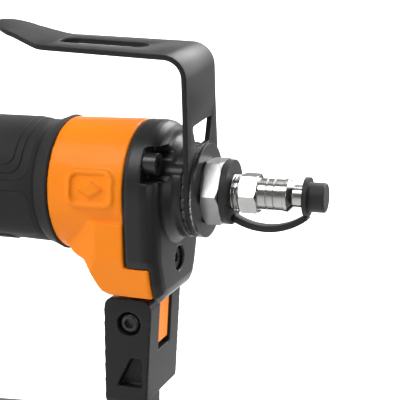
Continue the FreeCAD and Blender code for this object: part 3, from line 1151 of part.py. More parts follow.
def shoe_struts():
    """Two side plates that carry the magazine, each with a foot on the shoe."""
    inner = MAG_WIDTH / 2
    outer = inner + RAIL_THICKNESS
    top = SOLE_THICKNESS + SHOE_THICKNESS
    web = slab_xz([(STRUT_FRONT, top), (STRUT_REAR, top), tool_point(108, MAG_BOTTOM + 2),
                   tool_point(108, STRUT_TOP), tool_point(62, STRUT_TOP)], inner, outer)
    foot = block(STRUT_FRONT, STRUT_REAR, inner, STRUT_FOOT, top, top + RAIL_THICKNESS)
    slot_x, slot_z = tool_point(STRUT_BOLT_X, STRUT_BOLT_Z)
    slot = pin(3.0, inner - 1, outer + 1, slot_x, slot_z)
    tools = [slot]
    for x, y in STRUT_SCREWS:
        if y > 0:
            tools.append(post(PIN_RADIUS, 0, 40, x, y))
    body = cut(join([web, foot]), tools)
    return Part.makeCompound([body, body.mirror(vec(0, 0, 0), Y_AXIS)])


def height_bolts():
    """The two studs that the clamping knobs turn on."""
    x, z = tool_point(STRUT_BOLT_X, STRUT_BOLT_Z)
    inner = MAG_WIDTH / 2 - MAG_WALL + 0.2
    bolt = pin(3.0, inner, MAG_WIDTH / 2 + RAIL_THICKNESS + 9, x, z)
    return Part.makeCompound([bolt, bolt.mirror(vec(0, 0, 0), Y_AXIS)])


def height_knob(side):
    """A lobed clamping knob for the shoe height."""
    x, z = tool_point(STRUT_BOLT_X, STRUT_BOLT_Z)
    inner = MAG_WIDTH / 2 + RAIL_THICKNESS + 0.1
    knob = pin(KNOB_RADIUS, inner, inner + 10, x, z)
    knob = round_edges(knob, 1.5, lambda edge: edge.BoundBox.YMin > inner + 9.9)
    notches = []
    for a, b in ring_places(KNOB_RADIUS + 1.6, range(0, 360, 60)):
        notches.append(pin(3.0, inner - 1, inner + 11, x + a, z + b))
    knob = cut(knob, notches + [pin(3.0 + RUNNING_GAP, inner - 1, inner + 9.2, x, z)])
    return knob if side > 0 else knob.mirror(vec(0, 0, 0), Y_AXIS)


# ---- assembly -------------------------------------------------------------
HANDLE_NODES = {
    "main_housing": main_housing,
    "grip_sleeve": grip_sleeve,
    "rear_cap": rear_cap,
    "rear_cap_gasket": rear_cap_gasket,
    "rear_cap_bolts": rear_cap_bolts,
    "detent_ring": detent_ring,
    "belt_hook": belt_hook,
    "lock_washer": lock_washer,
    "flat_washer": flat_washer,
    "inlet_bushing": inlet_bushing,
    "plug_nipple": plug_nipple,
    "dust_cap": dust_cap,
    "tether_ring": tether_ring,
    "tether_strap": tether_strap,
    "magazine_bracket": magazine_bracket,
    "bracket_screw": bracket_screw,
    "bracket_nut": bracket_nut,
    "trigger": trigger,
    "trigger_pin": trigger_pin,
    "trigger_valve": trigger_valve,
    "trigger_stem": trigger_stem,
}
TOOL_NODES = {
    "cylinder_sleeve": cylinder_sleeve,
    "sleeve_seal": sleeve_seal,
    "piston": piston,
    "piston_ring": piston_ring,
    "driver_blade": driver_blade,
    "bumper": bumper,
    "head_valve": head_valve,
    "head_valve_seal": head_valve_seal,
    "head_valve_ring": head_valve_ring,
    "head_valve_spring": head_valve_spring,
    "head_cap": head_cap,
    "head_cap_gasket": head_cap_gasket,
    "head_cap_bolts": head_cap_bolts,
    "exhaust_deflector": exhaust_deflector,
    "deflector_screw": deflector_screw,
    "nose_body": nose_body,
    "nose_bolts": nose_bolts,
    "nose_door": nose_door,
    "door_hinge_pin": door_hinge_pin,
    "latch_lever": latch_lever,
    "latch_pin": latch_pin,
    "contact_arm": contact_arm,
    "contact_arm_screws": contact_arm_screws,
    "depth_wheel": depth_wheel,
    "magazine_body": magazine_body,
    "magazine_rail": magazine_rail,
    "magazine_screws": magazine_screws,
    "magazine_end_cap": magazine_end_cap,
    "pusher": pusher,
    "pusher_blade": pusher_blade,
    "pusher_knob": pusher_knob,
    "pusher_spring": pusher_spring,
}
WORLD_NODES = {
    "shoe_plate": shoe_plate,
    "sole_pad": sole_pad,
    "shoe_screws": shoe_screws,
    "shoe_struts": shoe_struts,
    "height_bolts": height_bolts,
    "height_knob_left": lambda: height_knob(1),
    "height_knob_right": lambda: height_knob(-1),
}


def export(name, shape, frame):
    """Put a finished shape in the world frame and write its file."""
    placed = shape.copy()
    placed.Placement = frame.multiply(placed.Placement)
    placed.exportStep("parts/" + name + ".step")


def main():
    os.makedirs("parts", exist_ok=True)
    world = FreeCAD.Placement()
    for nodes, frame in ((HANDLE_NODES, HANDLE), (TOOL_NODES, TOOL), (WORLD_NODES, world)):
        for name, make in nodes.items():
            export(name, make(), frame)


main()
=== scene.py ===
"""Finishes and fine pieces of a pneumatic flooring nailer.

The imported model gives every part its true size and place.  This script dresses
those parts, replaces the ones whose surface needs finer work, and sets the
floor, the lights and the camera.  New pieces are made in millimetres in the
frame of the handle or of the driver, and then put in the model's own frame.
"""
from __future__ import annotations

import json
import logging
import math
from collections.abc import Sequence
from dataclasses import dataclass, field
from enum import Enum

import bmesh
import bpy
from mathutils import Matrix, Vector

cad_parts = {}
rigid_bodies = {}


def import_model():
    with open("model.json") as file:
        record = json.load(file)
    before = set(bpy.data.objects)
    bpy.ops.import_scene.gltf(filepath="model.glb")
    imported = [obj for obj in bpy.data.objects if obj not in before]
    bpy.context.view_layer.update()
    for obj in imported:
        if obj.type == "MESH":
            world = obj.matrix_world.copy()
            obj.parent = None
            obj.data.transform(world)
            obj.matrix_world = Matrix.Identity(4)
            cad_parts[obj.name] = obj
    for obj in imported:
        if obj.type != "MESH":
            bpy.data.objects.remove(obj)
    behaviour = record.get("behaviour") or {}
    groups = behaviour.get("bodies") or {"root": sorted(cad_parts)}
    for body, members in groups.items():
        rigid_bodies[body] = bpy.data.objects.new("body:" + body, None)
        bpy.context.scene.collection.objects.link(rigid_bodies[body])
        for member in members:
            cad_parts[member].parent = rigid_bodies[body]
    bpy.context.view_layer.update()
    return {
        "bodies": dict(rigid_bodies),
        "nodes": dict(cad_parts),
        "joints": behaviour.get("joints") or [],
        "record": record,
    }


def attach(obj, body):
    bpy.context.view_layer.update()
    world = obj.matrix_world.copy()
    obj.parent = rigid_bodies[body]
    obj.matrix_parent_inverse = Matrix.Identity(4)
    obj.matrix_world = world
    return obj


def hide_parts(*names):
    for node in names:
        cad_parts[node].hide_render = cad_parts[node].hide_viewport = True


LOG = logging.getLogger("nailer")
MM = 0.001
DRIVE_ANGLE = 45.0
HANDLE_DROOP = 3.5
HANDLE_HEIGHT = 178.0
WELD_DISTANCE = 0.000002
Colour = tuple[float, float, float]
Outline = Sequence[tuple[float, float]]


# ---- frames of the tool ----------------------------------------------------
def driver_frame() -> Matrix:
    """Give the driver's frame: Z up the driver, X along the magazine.

    Returns:
        The 4x4 matrix from that frame to the model's frame, in metres.
    """
    return Matrix.Translation((0.0, 0.0, MM)) @ Matrix.Rotation(-math.radians(DRIVE_ANGLE), 4, "Y")


def handle_frame() -> Matrix:
    """Give the handle's frame: X along the handle, Z towards the belt hook.

    Returns:
        The 4x4 matrix from that frame to the model's frame, in metres.
    """
    raised = Matrix.Translation((0.0, 0.0, HANDLE_HEIGHT * MM))
    return driver_frame() @ raised @ Matrix.Rotation(math.radians(HANDLE_DROOP), 4, "Y")


class Frame(Enum):
    """The frames that pieces are made in."""

    DRIVER = "driver"
    HANDLE = "handle"
    WORLD = "world"

    def matrix(self) -> Matrix:
        """Return the matrix from this frame to the model's frame, in metres."""
        if self is Frame.DRIVER:
            return driver_frame()
        if self is Frame.HANDLE:
            return handle_frame()
        return Matrix.Identity(4)

    def axis(self, column: int) -> Vector:
        """Return one axis of this frame, as the model sees it."""
        return self.matrix().to_3x3().col[column].normalized()


# ---- shader sums -----------------------------------------------------------
class Signal:
    """A shader value that takes part in Python sums."""

    def __init__(self, graph: Graph, socket: bpy.types.NodeSocket) -> None:
        """Hold an output socket of a graph."""
        self.graph = graph
        self.socket = socket

    def _sum(self, operation: str, first: Signal | float, second: Signal | float) -> Signal:
        """Add one Math node and return its value."""
        made = self.graph.node("ShaderNodeMath", {"operation": operation}, {0: first, 1: second})
        return Signal(self.graph, made.outputs[0])

    def __add__(self, other: Signal | float) -> Signal:
        """Return self + other."""
        return self._sum("ADD", self, other)

    def __radd__(self, other: float) -> Signal:
        """Return other + self."""
        return self._sum("ADD", other, self)

    def __sub__(self, other: Signal | float) -> Signal:
        """Return self - other."""
        return self._sum("SUBTRACT", self, other)

    def __rsub__(self, other: float) -> Signal:
        """Return other - self."""
        return self._sum("SUBTRACT", other, self)

    def __mul__(self, other: Signal | float) -> Signal:
        """Return self * other."""
        return self._sum("MULTIPLY", self, other)

    def __rmul__(self, other: float) -> Signal:
        """Return other * self."""
        return self._sum("MULTIPLY", other, self)

    def sine(self) -> Signal:
        """Return the sine of this value."""
        return self._sum("SINE", self, 0.0)

    def clipped(self, low: float = 0.0, high: float = 1.0) -> Signal:
        """Return this value kept between two limits."""
        return self._sum("MINIMUM", self._sum("MAXIMUM", self, low), high)


class Graph:
    """The node tree of one material."""

    def __init__(self, name: str) -> None:
        """Start a material with a Principled shader."""
        self.material = bpy.data.materials.new(name)
        self.material.use_nodes = True
        self.tree = self.material.node_tree
        self.tree.nodes.clear()
        self.shader = self.node("ShaderNodeBsdfPrincipled")
        output = self.node("ShaderNodeOutputMaterial")
        self.tree.links.new(self.shader.outputs[0], output.inputs[0])
        self.place = self.node("ShaderNodeTexCoord").outputs["Object"]

    def node(self, kind: str, settings: dict | None = None, values: dict | None = None) -> bpy.types.Node:
        """Add a node.

        Args:
            kind: The node's type.
            settings: Its own settings.
            values: The values or links of its sockets, by name or number.

        Returns:
            The new node.
        """
        made = self.tree.nodes.new(kind)
        for key, value in (settings or {}).items():
            setattr(made, key, value)
        for key, value in (values or {}).items():
            self.feed(made.inputs[key], value)
        return made

    def feed(self, socket: bpy.types.NodeSocket, value: object) -> None:
        """Set a socket to a value, or link it to a signal or an output."""
        if isinstance(value, Signal):
            self.tree.links.new(value.socket, socket)
        elif isinstance(value, bpy.types.NodeSocket):
            self.tree.links.new(value, socket)
        else:
            socket.default_value = value

    def noise(self, per_metre: float, detail: float = 2.0, stretch: Vector | None = None) -> Signal:
        """Give a noise pattern on Object coordinates.

        Args:
            per_metre: How many blobs there are along a metre.
            detail: The number of finer layers.
            stretch: An axis along which the noise is drawn out into lines.

        Returns:
            The noise value, from 0 to 1.
        """
        place = self.place
        if stretch is not None:
            length = self.node("ShaderNodeVectorMath", {"operation": "DOT_PRODUCT"}, {0: place, 1: stretch})
            back = self.node("ShaderNodeVectorMath", {"operation": "SCALE"},
                             {0: stretch * -0.96, "Scale": length.outputs["Value"]})
            place = self.node("ShaderNodeVectorMath", {"operation": "ADD"},
                              {0: place, 1: back.outputs[0]}).outputs[0]
        made = self.node("ShaderNodeTexNoise", None,
                         {"Vector": place, "Scale": per_metre, "Detail": detail, "Roughness": 0.55})
        return Signal(self, made.outputs["Fac"])

    def along(self, axis: Vector) -> Signal:
        """Return the distance along an axis, in metres."""
        made = self.node("ShaderNodeVectorMath", {"operation": "DOT_PRODUCT"}, {0: self.place, 1: axis})
        return Signal(self, made.outputs["Value"])

    def mixed(self, first: Colour, second: Colour, mask: Signal) -> bpy.types.NodeSocket:
        """Return a colour between two, by a mask."""
        made = self.node("ShaderNodeMix", {"data_type": "RGBA"},
                         {0: mask, 6: (*first, 1.0), 7: (*second, 1.0)})
        return made.outputs[2]

    def blended(self, first: bpy.types.NodeSocket, second: Colour, mask: Signal) -> bpy.types.NodeSocket:
        """Return a linked colour laid over with another, by a mask."""
        made = self.node("ShaderNodeMix", {"data_type": "RGBA"}, {0: mask, 6: first, 7: (*second, 1.0)})
        return made.outputs[2]

    def edges(self, radius: float) -> tuple[bpy.types.NodeSocket, Signal]:
        """Round the sharp edges in the shading.

        Args:
            radius: The radius of the rounding, in metres.

        Returns:
            The rounded normal, and a mask that is 1 on the edges.
        """
        bevel = self.node("ShaderNodeBevel", {"samples": 4}, {"Radius": radius})
        plain = self.node("ShaderNodeNewGeometry").outputs["Normal"]
        facing = self.node("ShaderNodeVectorMath", {"operation": "DOT_PRODUCT"},
                           {0: bevel.outputs[0], 1: plain})
        mask = ((1.0 - Signal(self, facing.outputs["Value"])) * 6.0).clipped()
        return bevel.outputs[0], mask

    def relief(self, height: Signal, depth: float, normal: bpy.types.NodeSocket | None = None) -> None:
        """Feed the shader's normal from a height pattern.

        Args:
            height: The pattern, from 0 to 1.
            depth: How deep it is, in metres.
            normal: A normal that the relief is laid on.
        """
        values: dict = {"Strength": 1.0, "Distance": depth, "Height": height}
        if normal is not None:
            values["Normal"] = normal
        bump = self.node("ShaderNodeBump", None, values)
        self.feed(self.shader.inputs["Normal"], bump.outputs[0])


# ---- finishes --------------------------------------------------------------
@dataclass(frozen=True)
class PowderCoat:
    """A baked coat on a casting or a pressed plate, a little thinner on edges."""

    name: str
    colour: Colour
    shade: Colour
    worn: Colour
    roughness: float = 0.36
    peel: float = 0.00003
    edge: float = 0.0006
    wear: float = 0.25
    coat: float = 0.15
    gloss: float = 0.22

    def material(self) -> bpy.types.Material:
        """Return the material of this coat."""
        graph = Graph(self.name)
        drift = graph.noise(22.0, 3.0)
        peel = graph.noise(1400.0, 2.0)
        speck = ((graph.noise(5200.0, 1.0) - 0.6) * 6.0).clipped()
        normal, rim = graph.edges(self.edge)
        rubbed = (rim * ((graph.noise(260.0, 4.0) - 0.42) * 5.0).clipped() * self.wear).clipped()
        colour = graph.mixed(self.colour, self.shade, (drift * 1.3 - 0.15).clipped())
        graph.feed(graph.shader.inputs["Base Color"], graph.blended(colour, self.worn, rubbed))
        graph.feed(graph.shader.inputs["Roughness"],
                   (self.roughness + drift * 0.08 + speck * 0.05).clipped())
        graph.feed(graph.shader.inputs["Specular IOR Level"], self.gloss)
        graph.feed(graph.shader.inputs["Coat Weight"], self.coat)
        graph.feed(graph.shader.inputs["Coat Roughness"], 0.35)
        graph.relief(peel + speck * 0.3, self.peel, normal)
        return graph.material


@dataclass(frozen=True)
class MouldedRubber:
    """Soft rubber with a fine spark-eroded skin, dusty in patches, and lightened along its edges by a painted
    highlight.
    """

    name: str
    colour: Colour
    dust_and_highlight: Colour
    roughness: float = 0.62
    grain: float = 0.00005
    grain_per_metre: float = 2600.0
    edge: float = 0.0005
    gloss: float = 0.3

    def material(self) -> bpy.types.Material:
        """Return the material of this rubber."""
        graph = Graph(self.name)
        grain = graph.noise(self.grain_per_metre, 2.0)
        cloud = graph.noise(34.0, 4.0)
        normal, rim = graph.edges(self.edge)
        # The cloud noise lays patches of dust; the rim mask paints a highlight along the edges with the same
        # lighter colour.
        dust_and_highlight = ((cloud - 0.45) * 1.6).clipped() * 0.5 + rim * 0.25
        graph.feed(graph.shader.inputs["Base Color"], graph.mixed(self.colour, self.dust_and_highlight, dust_and_highlight.clipped()))
        graph.feed(graph.shader.inputs["Roughness"], (self.roughness + cloud * 0.14).clipped())
        graph.feed(graph.shader.inputs["Specular IOR Level"], self.gloss)
        graph.relief(grain, self.grain, normal)
        return graph.material


@dataclass(frozen=True)
class SatinPlastic:
    """Moulded plastic with a fine grain, its tone mottled at random and its edges lightened by a painted
    highlight.
    """

    name: str
    colour: Colour
    mottle_and_highlight: Colour
    roughness: float = 0.34
    grain: float = 0.00002
    edge: float = 0.0005
    gloss: float = 0.32

    def material(self) -> bpy.types.Material:
        """Return the material of this plastic."""
        graph = Graph(self.name)
        grain = graph.noise(3200.0, 2.0)
        flow = graph.noise(40.0, 3.0)
        normal, rim = graph.edges(self.edge)
        # The flow noise mottles the tone at random; the rim mask paints a highlight along the edges with the
        # lighter colour.
        graph.feed(graph.shader.inputs["Base Color"],
                   graph.mixed(self.colour, self.mottle_and_highlight, (flow * 0.5 + rim * 0.3).clipped()))
        graph.feed(graph.shader.inputs["Roughness"],
                   (self.roughness + flow * 0.1 + grain * 0.05).clipped())
        graph.feed(graph.shader.inputs["Specular IOR Level"], self.gloss)
        graph.relief(grain, self.grain, normal)
        return graph.material


@dataclass(frozen=True)
class PlatedSteel:
    """Zinc or nickel on steel, with turning lines along one axis."""

    name: str
    colour: Colour
    tint: Colour
    axis: Frame = Frame.HANDLE
    column: int = 0
    roughness: float = 0.24
    lines: float = 0.000012
    lines_per_metre: float = 3800.0
    edge: float = 0.0003

    def material(self) -> bpy.types.Material:
        """Return the material of this plating."""
        graph = Graph(self.name)
        distance = graph.along(self.axis.axis(self.column))
        wobble = graph.noise(700.0, 3.0)
        turning = (distance * self.lines_per_metre * 2.0 + wobble * 3.0).sine() * 0.5 + 0.5
        spots = graph.noise(120.0, 4.0)
        normal, rim = graph.edges(self.edge)
        tint = ((spots - 0.4) * 1.8).clipped()
        graph.feed(graph.shader.inputs["Base Color"], graph.mixed(self.colour, self.tint, tint))
        graph.feed(graph.shader.inputs["Metallic"], 1.0)
        graph.feed(graph.shader.inputs["Roughness"],
                   (self.roughness + spots * 0.16 - rim * 0.08 + turning * 0.04).clipped(0.05, 1.0))
        graph.relief(turning * 0.6 + wobble * 0.4, self.lines, normal)
        return graph.material


@dataclass(frozen=True)
class DrawnMetal:
    """Ground steel or extruded aluminium, with fine lines drawn along an axis and a painted highlight on its
    edges.
    """

    name: str
    colour: Colour
    tint: Colour
    axis: Frame = Frame.DRIVER
    column: int = 0
    metallic: float = 1.0
    roughness: float = 0.32
    depth: float = 0.00002
    per_metre: float = 1600.0
    edge: float = 0.0004

    def material(self) -> bpy.types.Material:
        """Return the material of this metal."""
        graph = Graph(self.name)
        lines = graph.noise(self.per_metre, 3.0, self.axis.axis(self.column))
        cloud = graph.noise(45.0, 4.0)
        normal, rim = graph.edges(self.edge)
        colour = graph.mixed(self.colour, self.tint, (cloud * 0.9 + lines * 0.3 - 0.1).clipped())
        # Painted highlight: the edges are lightened towards a brighter copy of the metal's colour.
        edge_highlight = tuple(min(1.0, part * 1.25 + 0.05) for part in self.colour)
        graph.feed(graph.shader.inputs["Base Color"], graph.blended(colour, edge_highlight, rim * 0.5))
        graph.feed(graph.shader.inputs["Metallic"], self.metallic)
        graph.feed(graph.shader.inputs["Roughness"], (self.roughness + lines * 0.12 + cloud * 0.05).clipped())
        graph.relief(lines, self.depth, normal)
        return graph.material


ORANGE_COAT = PowderCoat("orange_powder_coat", (0.88, 0.235, 0.002), (0.82, 0.205, 0.001),
                         (0.98, 0.42, 0.08), roughness=0.40, wear=0.18, coat=0.0)
BLACK_COAT = PowderCoat("black_powder_coat", (0.007, 0.0072, 0.0075), (0.012, 0.012, 0.0125),
                        (0.16, 0.16, 0.165), roughness=0.42, peel=0.00004, wear=0.35, coat=0.0)
BLACK_STEEL = PowderCoat("black_oxide_steel", (0.012, 0.012, 0.013), (0.024, 0.024, 0.026),
                         (0.12, 0.12, 0.12), roughness=0.30, peel=0.00001, wear=0.4, coat=0.3)
GRIP_RUBBER = MouldedRubber("grip_rubber", (0.010, 0.010, 0.011), (0.030, 0.029, 0.028))
DUST_RUBBER = MouldedRubber("dust_cap_rubber", (0.012, 0.012, 0.012), (0.030, 0.030, 0.030), roughness=0.5,
                            grain=0.00002, grain_per_metre=3600.0)
SEAL_RUBBER = MouldedRubber("seal_rubber", (0.010, 0.010, 0.010), (0.020, 0.020, 0.020), roughness=0.4,
                            grain=0.00001)
BUMPER_URETHANE = MouldedRubber("bumper_urethane", (0.22, 0.075, 0.018), (0.30, 0.14, 0.05), roughness=0.35,
                                grain=0.00002)
CAP_PLASTIC = SatinPlastic("cap_plastic", (0.006, 0.006, 0.0063), (0.012, 0.012, 0.0125))
TRIM_PLASTIC = SatinPlastic("trim_plastic", (0.020, 0.020, 0.021), (0.034, 0.034, 0.035), roughness=0.42,
                            grain=0.00003)
SOLE_PLASTIC = SatinPlastic("sole_plastic", (0.56, 0.56, 0.53), (0.66, 0.66, 0.63), roughness=0.5,
                            grain=0.00004)
ZINC_PLATE = PlatedSteel("zinc_plated_steel", (0.26, 0.262, 0.266), (0.19, 0.19, 0.187), roughness=0.26)
BRIGHT_NICKEL = PlatedSteel("bright_nickel", (0.36, 0.357, 0.35), (0.25, 0.247, 0.24), roughness=0.10,
                            lines=0.000006)
SCREW_STEEL = PlatedSteel("zinc_screw_steel", (0.60, 0.61, 0.62), (0.50, 0.50, 0.49), Frame.DRIVER, 2, 0.3)
VALVE_BRASS = PlatedSteel("turned_brass", (0.72, 0.50, 0.20), (0.60, 0.40, 0.16), Frame.HANDLE, 2, 0.22)
TOOL_STEEL = DrawnMetal("ground_tool_steel", (0.34, 0.345, 0.355), (0.22, 0.222, 0.23), Frame.DRIVER, 2,
                        roughness=0.34)
BARE_ALUMINIUM = DrawnMetal("machined_aluminium", (0.66, 0.665, 0.67), (0.52, 0.525, 0.53), Frame.WORLD, 0,
                            roughness=0.3)
BLACK_ALUMINIUM = DrawnMetal("black_anodised_extrusion", (0.026, 0.027, 0.029), (0.048, 0.049, 0.052),
                             Frame.DRIVER, 0, metallic=0.55, roughness=0.36)


# ---- making pieces ---------------------------------------------------------
class Workshop:
    """Makes finished pieces and puts them on the nailer."""

    def __init__(self, frame: dict) -> None:
        """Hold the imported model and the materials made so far."""
        self.frame = frame
        self.nodes: dict[str, bpy.types.Object] = frame["nodes"]
        self.materials: dict[str, bpy.types.Material] = {}
        self.slots = {part["node"]: part["material_slot"] for part in frame["record"]["subparts"]}
        self.body_of = {node: body for body, members in frame["record"]["behaviour"]["bodies"].items()
                        for node in members}

    def material(self, finish: object) -> bpy.types.Material:
        """Return a finish's material, made once."""
        if finish.name not in self.materials:
            self.materials[finish.name] = finish.material()
        return self.materials[finish.name]

    def dress(self, finish: object, *names: str) -> None:
        """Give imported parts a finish."""
        for name in names:
            slots = self.nodes[name].material_slots
            if not slots:
                self.nodes[name].data.materials.append(None)
            for place in self.nodes[name].material_slots:
                place.material = self.material(finish)

    def place(self, bm: bmesh.types.BMesh, name: str, finish: object, like: str, frame: Frame | None,
              replaces: Sequence[str] = (), sharp: float = 35.0) -> bpy.types.Object:
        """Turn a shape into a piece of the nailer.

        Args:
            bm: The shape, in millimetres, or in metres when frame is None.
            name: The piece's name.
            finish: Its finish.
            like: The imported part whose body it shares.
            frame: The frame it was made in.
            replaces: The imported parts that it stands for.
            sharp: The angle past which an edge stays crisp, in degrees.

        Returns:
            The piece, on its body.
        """
        if frame is not None:
            bmesh.ops.transform(bm, matrix=frame.matrix() @ Matrix.Scale(MM, 4), verts=bm.verts)
        bmesh.ops.recalc_face_normals(bm, faces=bm.faces)
        mesh = bpy.data.meshes.new(name)
        bm.to_mesh(mesh)
        bm.free()
        mesh.shade_smooth()
        mesh.set_sharp_from_angle(angle=math.radians(sharp))
        piece = bpy.data.objects.new(name, mesh)
        bpy.context.scene.collection.objects.link(piece)
        mesh.materials.append(self.material(finish))
        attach(piece, self.body_of[like])
        if replaces:
            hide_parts(*replaces)
        LOG.info("%s: %d faces", name, len(mesh.polygons))
        return piece

    def merged(self, node: str) -> bmesh.types.BMesh:
        """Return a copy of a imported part's surface with its corners joined, in metres."""
        bm = bmesh.new()
        bm.from_mesh(self.nodes[node].data)
        bmesh.ops.remove_doubles(bm, verts=bm.verts, dist=WELD_DISTANCE)
        return bm

    def eased(self, node: str, finish: object, offset: float, segments: int = 2,
              angle: float = 32.0) -> bpy.types.Object:
        """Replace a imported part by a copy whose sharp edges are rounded.

        Args:
            node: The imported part.
            finish: The copy's finish.
            offset: The size of the rounding, in millimetres.
            segments: The number of faces across each rounding.
            angle: Edges sharper than this many degrees are rounded.

        Returns:
            The new piece.
        """
        bm = self.merged(node)
        bmesh.ops.dissolve_limit(bm, angle_limit=math.radians(0.6), verts=bm.verts, edges=bm.edges)
        limit = math.radians(angle)
        keen = [edge for edge in bm.edges if edge.is_manifold and edge.calc_face_angle(0.0) > limit]
        bmesh.ops.bevel(bm, geom=keen, offset=offset * MM, offset_type="OFFSET", segments=segments,
                        profile=0.5, affect="EDGES", clamp_overlap=True, material=-1)
        return self.place(bm, node + "_eased", finish, node, None, [node], 30.0)

    def cast(self, bm: bmesh.types.BMesh, name: str, finish: object, like: str, voxel: float,
             passes: int) -> bpy.types.Object:
        """Give a shape the soft corners of a casting.

        Args:
            bm: A closed shape, in metres.
            name: The piece's name.
            finish: Its finish.
            like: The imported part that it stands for.
            voxel: The size of its faces, in millimetres.
            passes: How many times its corners are eased.

        Returns:
            The new piece.
        """
        mesh = bpy.data.meshes.new(name + "_rough")
        bm.to_mesh(mesh)
        bm.free()
        rough = bpy.data.objects.new(name + "_rough", mesh)
        bpy.context.scene.collection.objects.link(rough)
        skin = rough.modifiers.new("Skin", "REMESH")
        skin.mode = "VOXEL"
        skin.voxel_size = voxel * MM
        skin.adaptivity = 0.0
        easing = rough.modifiers.new("Easing", "SMOOTH")
        easing.factor = 0.5
        easing.iterations = passes
        graph = bpy.context.evaluated_depsgraph_get()
        made = bmesh.new()
        made.from_mesh(rough.evaluated_get(graph).data)
        bpy.data.objects.remove(rough)
        bpy.data.meshes.remove(mesh)
        return self.place(made, name, finish, like, None, [like], 60.0)


def lathe(outline: Outline, steps: int = 96, column: int = 0) -> bmesh.types.BMesh:
    """Turn a closed outline about an axis.

    Args:
        outline: Points as distance along the axis and radius.
        steps: The number of faces round.
        column: 0 turns about X and 2 about Z.

    Returns:
        The turned shape.
    """
    bm = bmesh.new()
    axis = Vector((1, 0, 0)) if column == 0 else Vector((0, 0, 1))
    out = Vector((0, 0, 1)) if column == 0 else Vector((1, 0, 0))
    ring = [bm.verts.new(axis * along + out * max(radius, 0.0)) for along, radius in outline]
    sides = [bm.edges.new(pair) for pair in zip(ring, ring[1:] + ring[:1])]
    bmesh.ops.spin(bm, geom=ring + sides, axis=axis, cent=(0, 0, 0), angle=math.tau, steps=steps,
                   use_merge=True)
    bmesh.ops.remove_doubles(bm, verts=bm.verts, dist=0.0005)
    loose = [face for face in bm.faces if face.calc_area() < 1e-9]
    bmesh.ops.delete(bm, geom=loose, context="FACES")
    return bm


def plate(length: float, width: float, corner: float, thickness: float, rim: float) -> bmesh.types.BMesh:
    """Make a flat pad with round corners and an eased rim.

    Args:
        length: Its size along X, in millimetres.
        width: Its size along Y.
        corner: The radius of its corners.
        thickness: Its size along Z, from zero up.
        rim: The easing round its top.

    Returns:
        The pad, centred on the origin.
    """
    bm = bmesh.new()
    bmesh.ops.create_grid(bm, x_segments=1, y_segments=1, size=0.5)
    bmesh.ops.scale(bm, vec=(length, width, 1.0), verts=bm.verts)
    bmesh.ops.bevel(bm, geom=bm.verts[:], offset=corner, offset_type="OFFSET", segments=6, profile=0.5,
                    affect="VERTICES", material=-1)
    grown = bmesh.ops.extrude_face_region(bm, geom=bm.faces[:], use_keep_orig=True)
    top = [part for part in grown["geom"] if isinstance(part, bmesh.types.BMVert)]
    bmesh.ops.translate(bm, vec=(0, 0, thickness), verts=top)
    edge = [e for e in bm.edges if all(v.co.z > thickness - 1e-4 for v in e.verts)]
    bmesh.ops.bevel(bm, geom=edge, offset=rim, offset_type="OFFSET", segments=3, profile=0.5,
                    affect="EDGES", clamp_overlap=True, material=-1)
    return bm


def sliced(bm: bmesh.types.BMesh, axis: Vector, low: float, high: float, step: float) -> None:
    """Cut a shape across at even steps, so that it can be bent smoothly."""
    count = max(1, int((high - low) / step))
    for index in range(1, count):
        at = low + (high - low) * index / count
        bmesh.ops.bisect_plane(bm, geom=bm.verts[:] + bm.edges[:] + bm.faces[:], dist=1e-5,
                               plane_co=axis * at, plane_no=axis)


def wrapped(bm: bmesh.types.BMesh, radius: float, middle: float) -> None:
    """Bend a flat shape round the X axis.

    Args:
        bm: The shape: Y runs round the axis and Z stands off it.
        radius: The radius that Z = 0 comes to lie on.
        middle: The angle of Y = 0, in degrees, from -Y towards +Z.
    """
    for vert in bm.verts:
        angle = math.radians(middle) + vert.co.y / radius
        reach = radius + vert.co.z
        vert.co = Vector((vert.co.x, -reach * math.cos(angle), reach * math.sin(angle)))


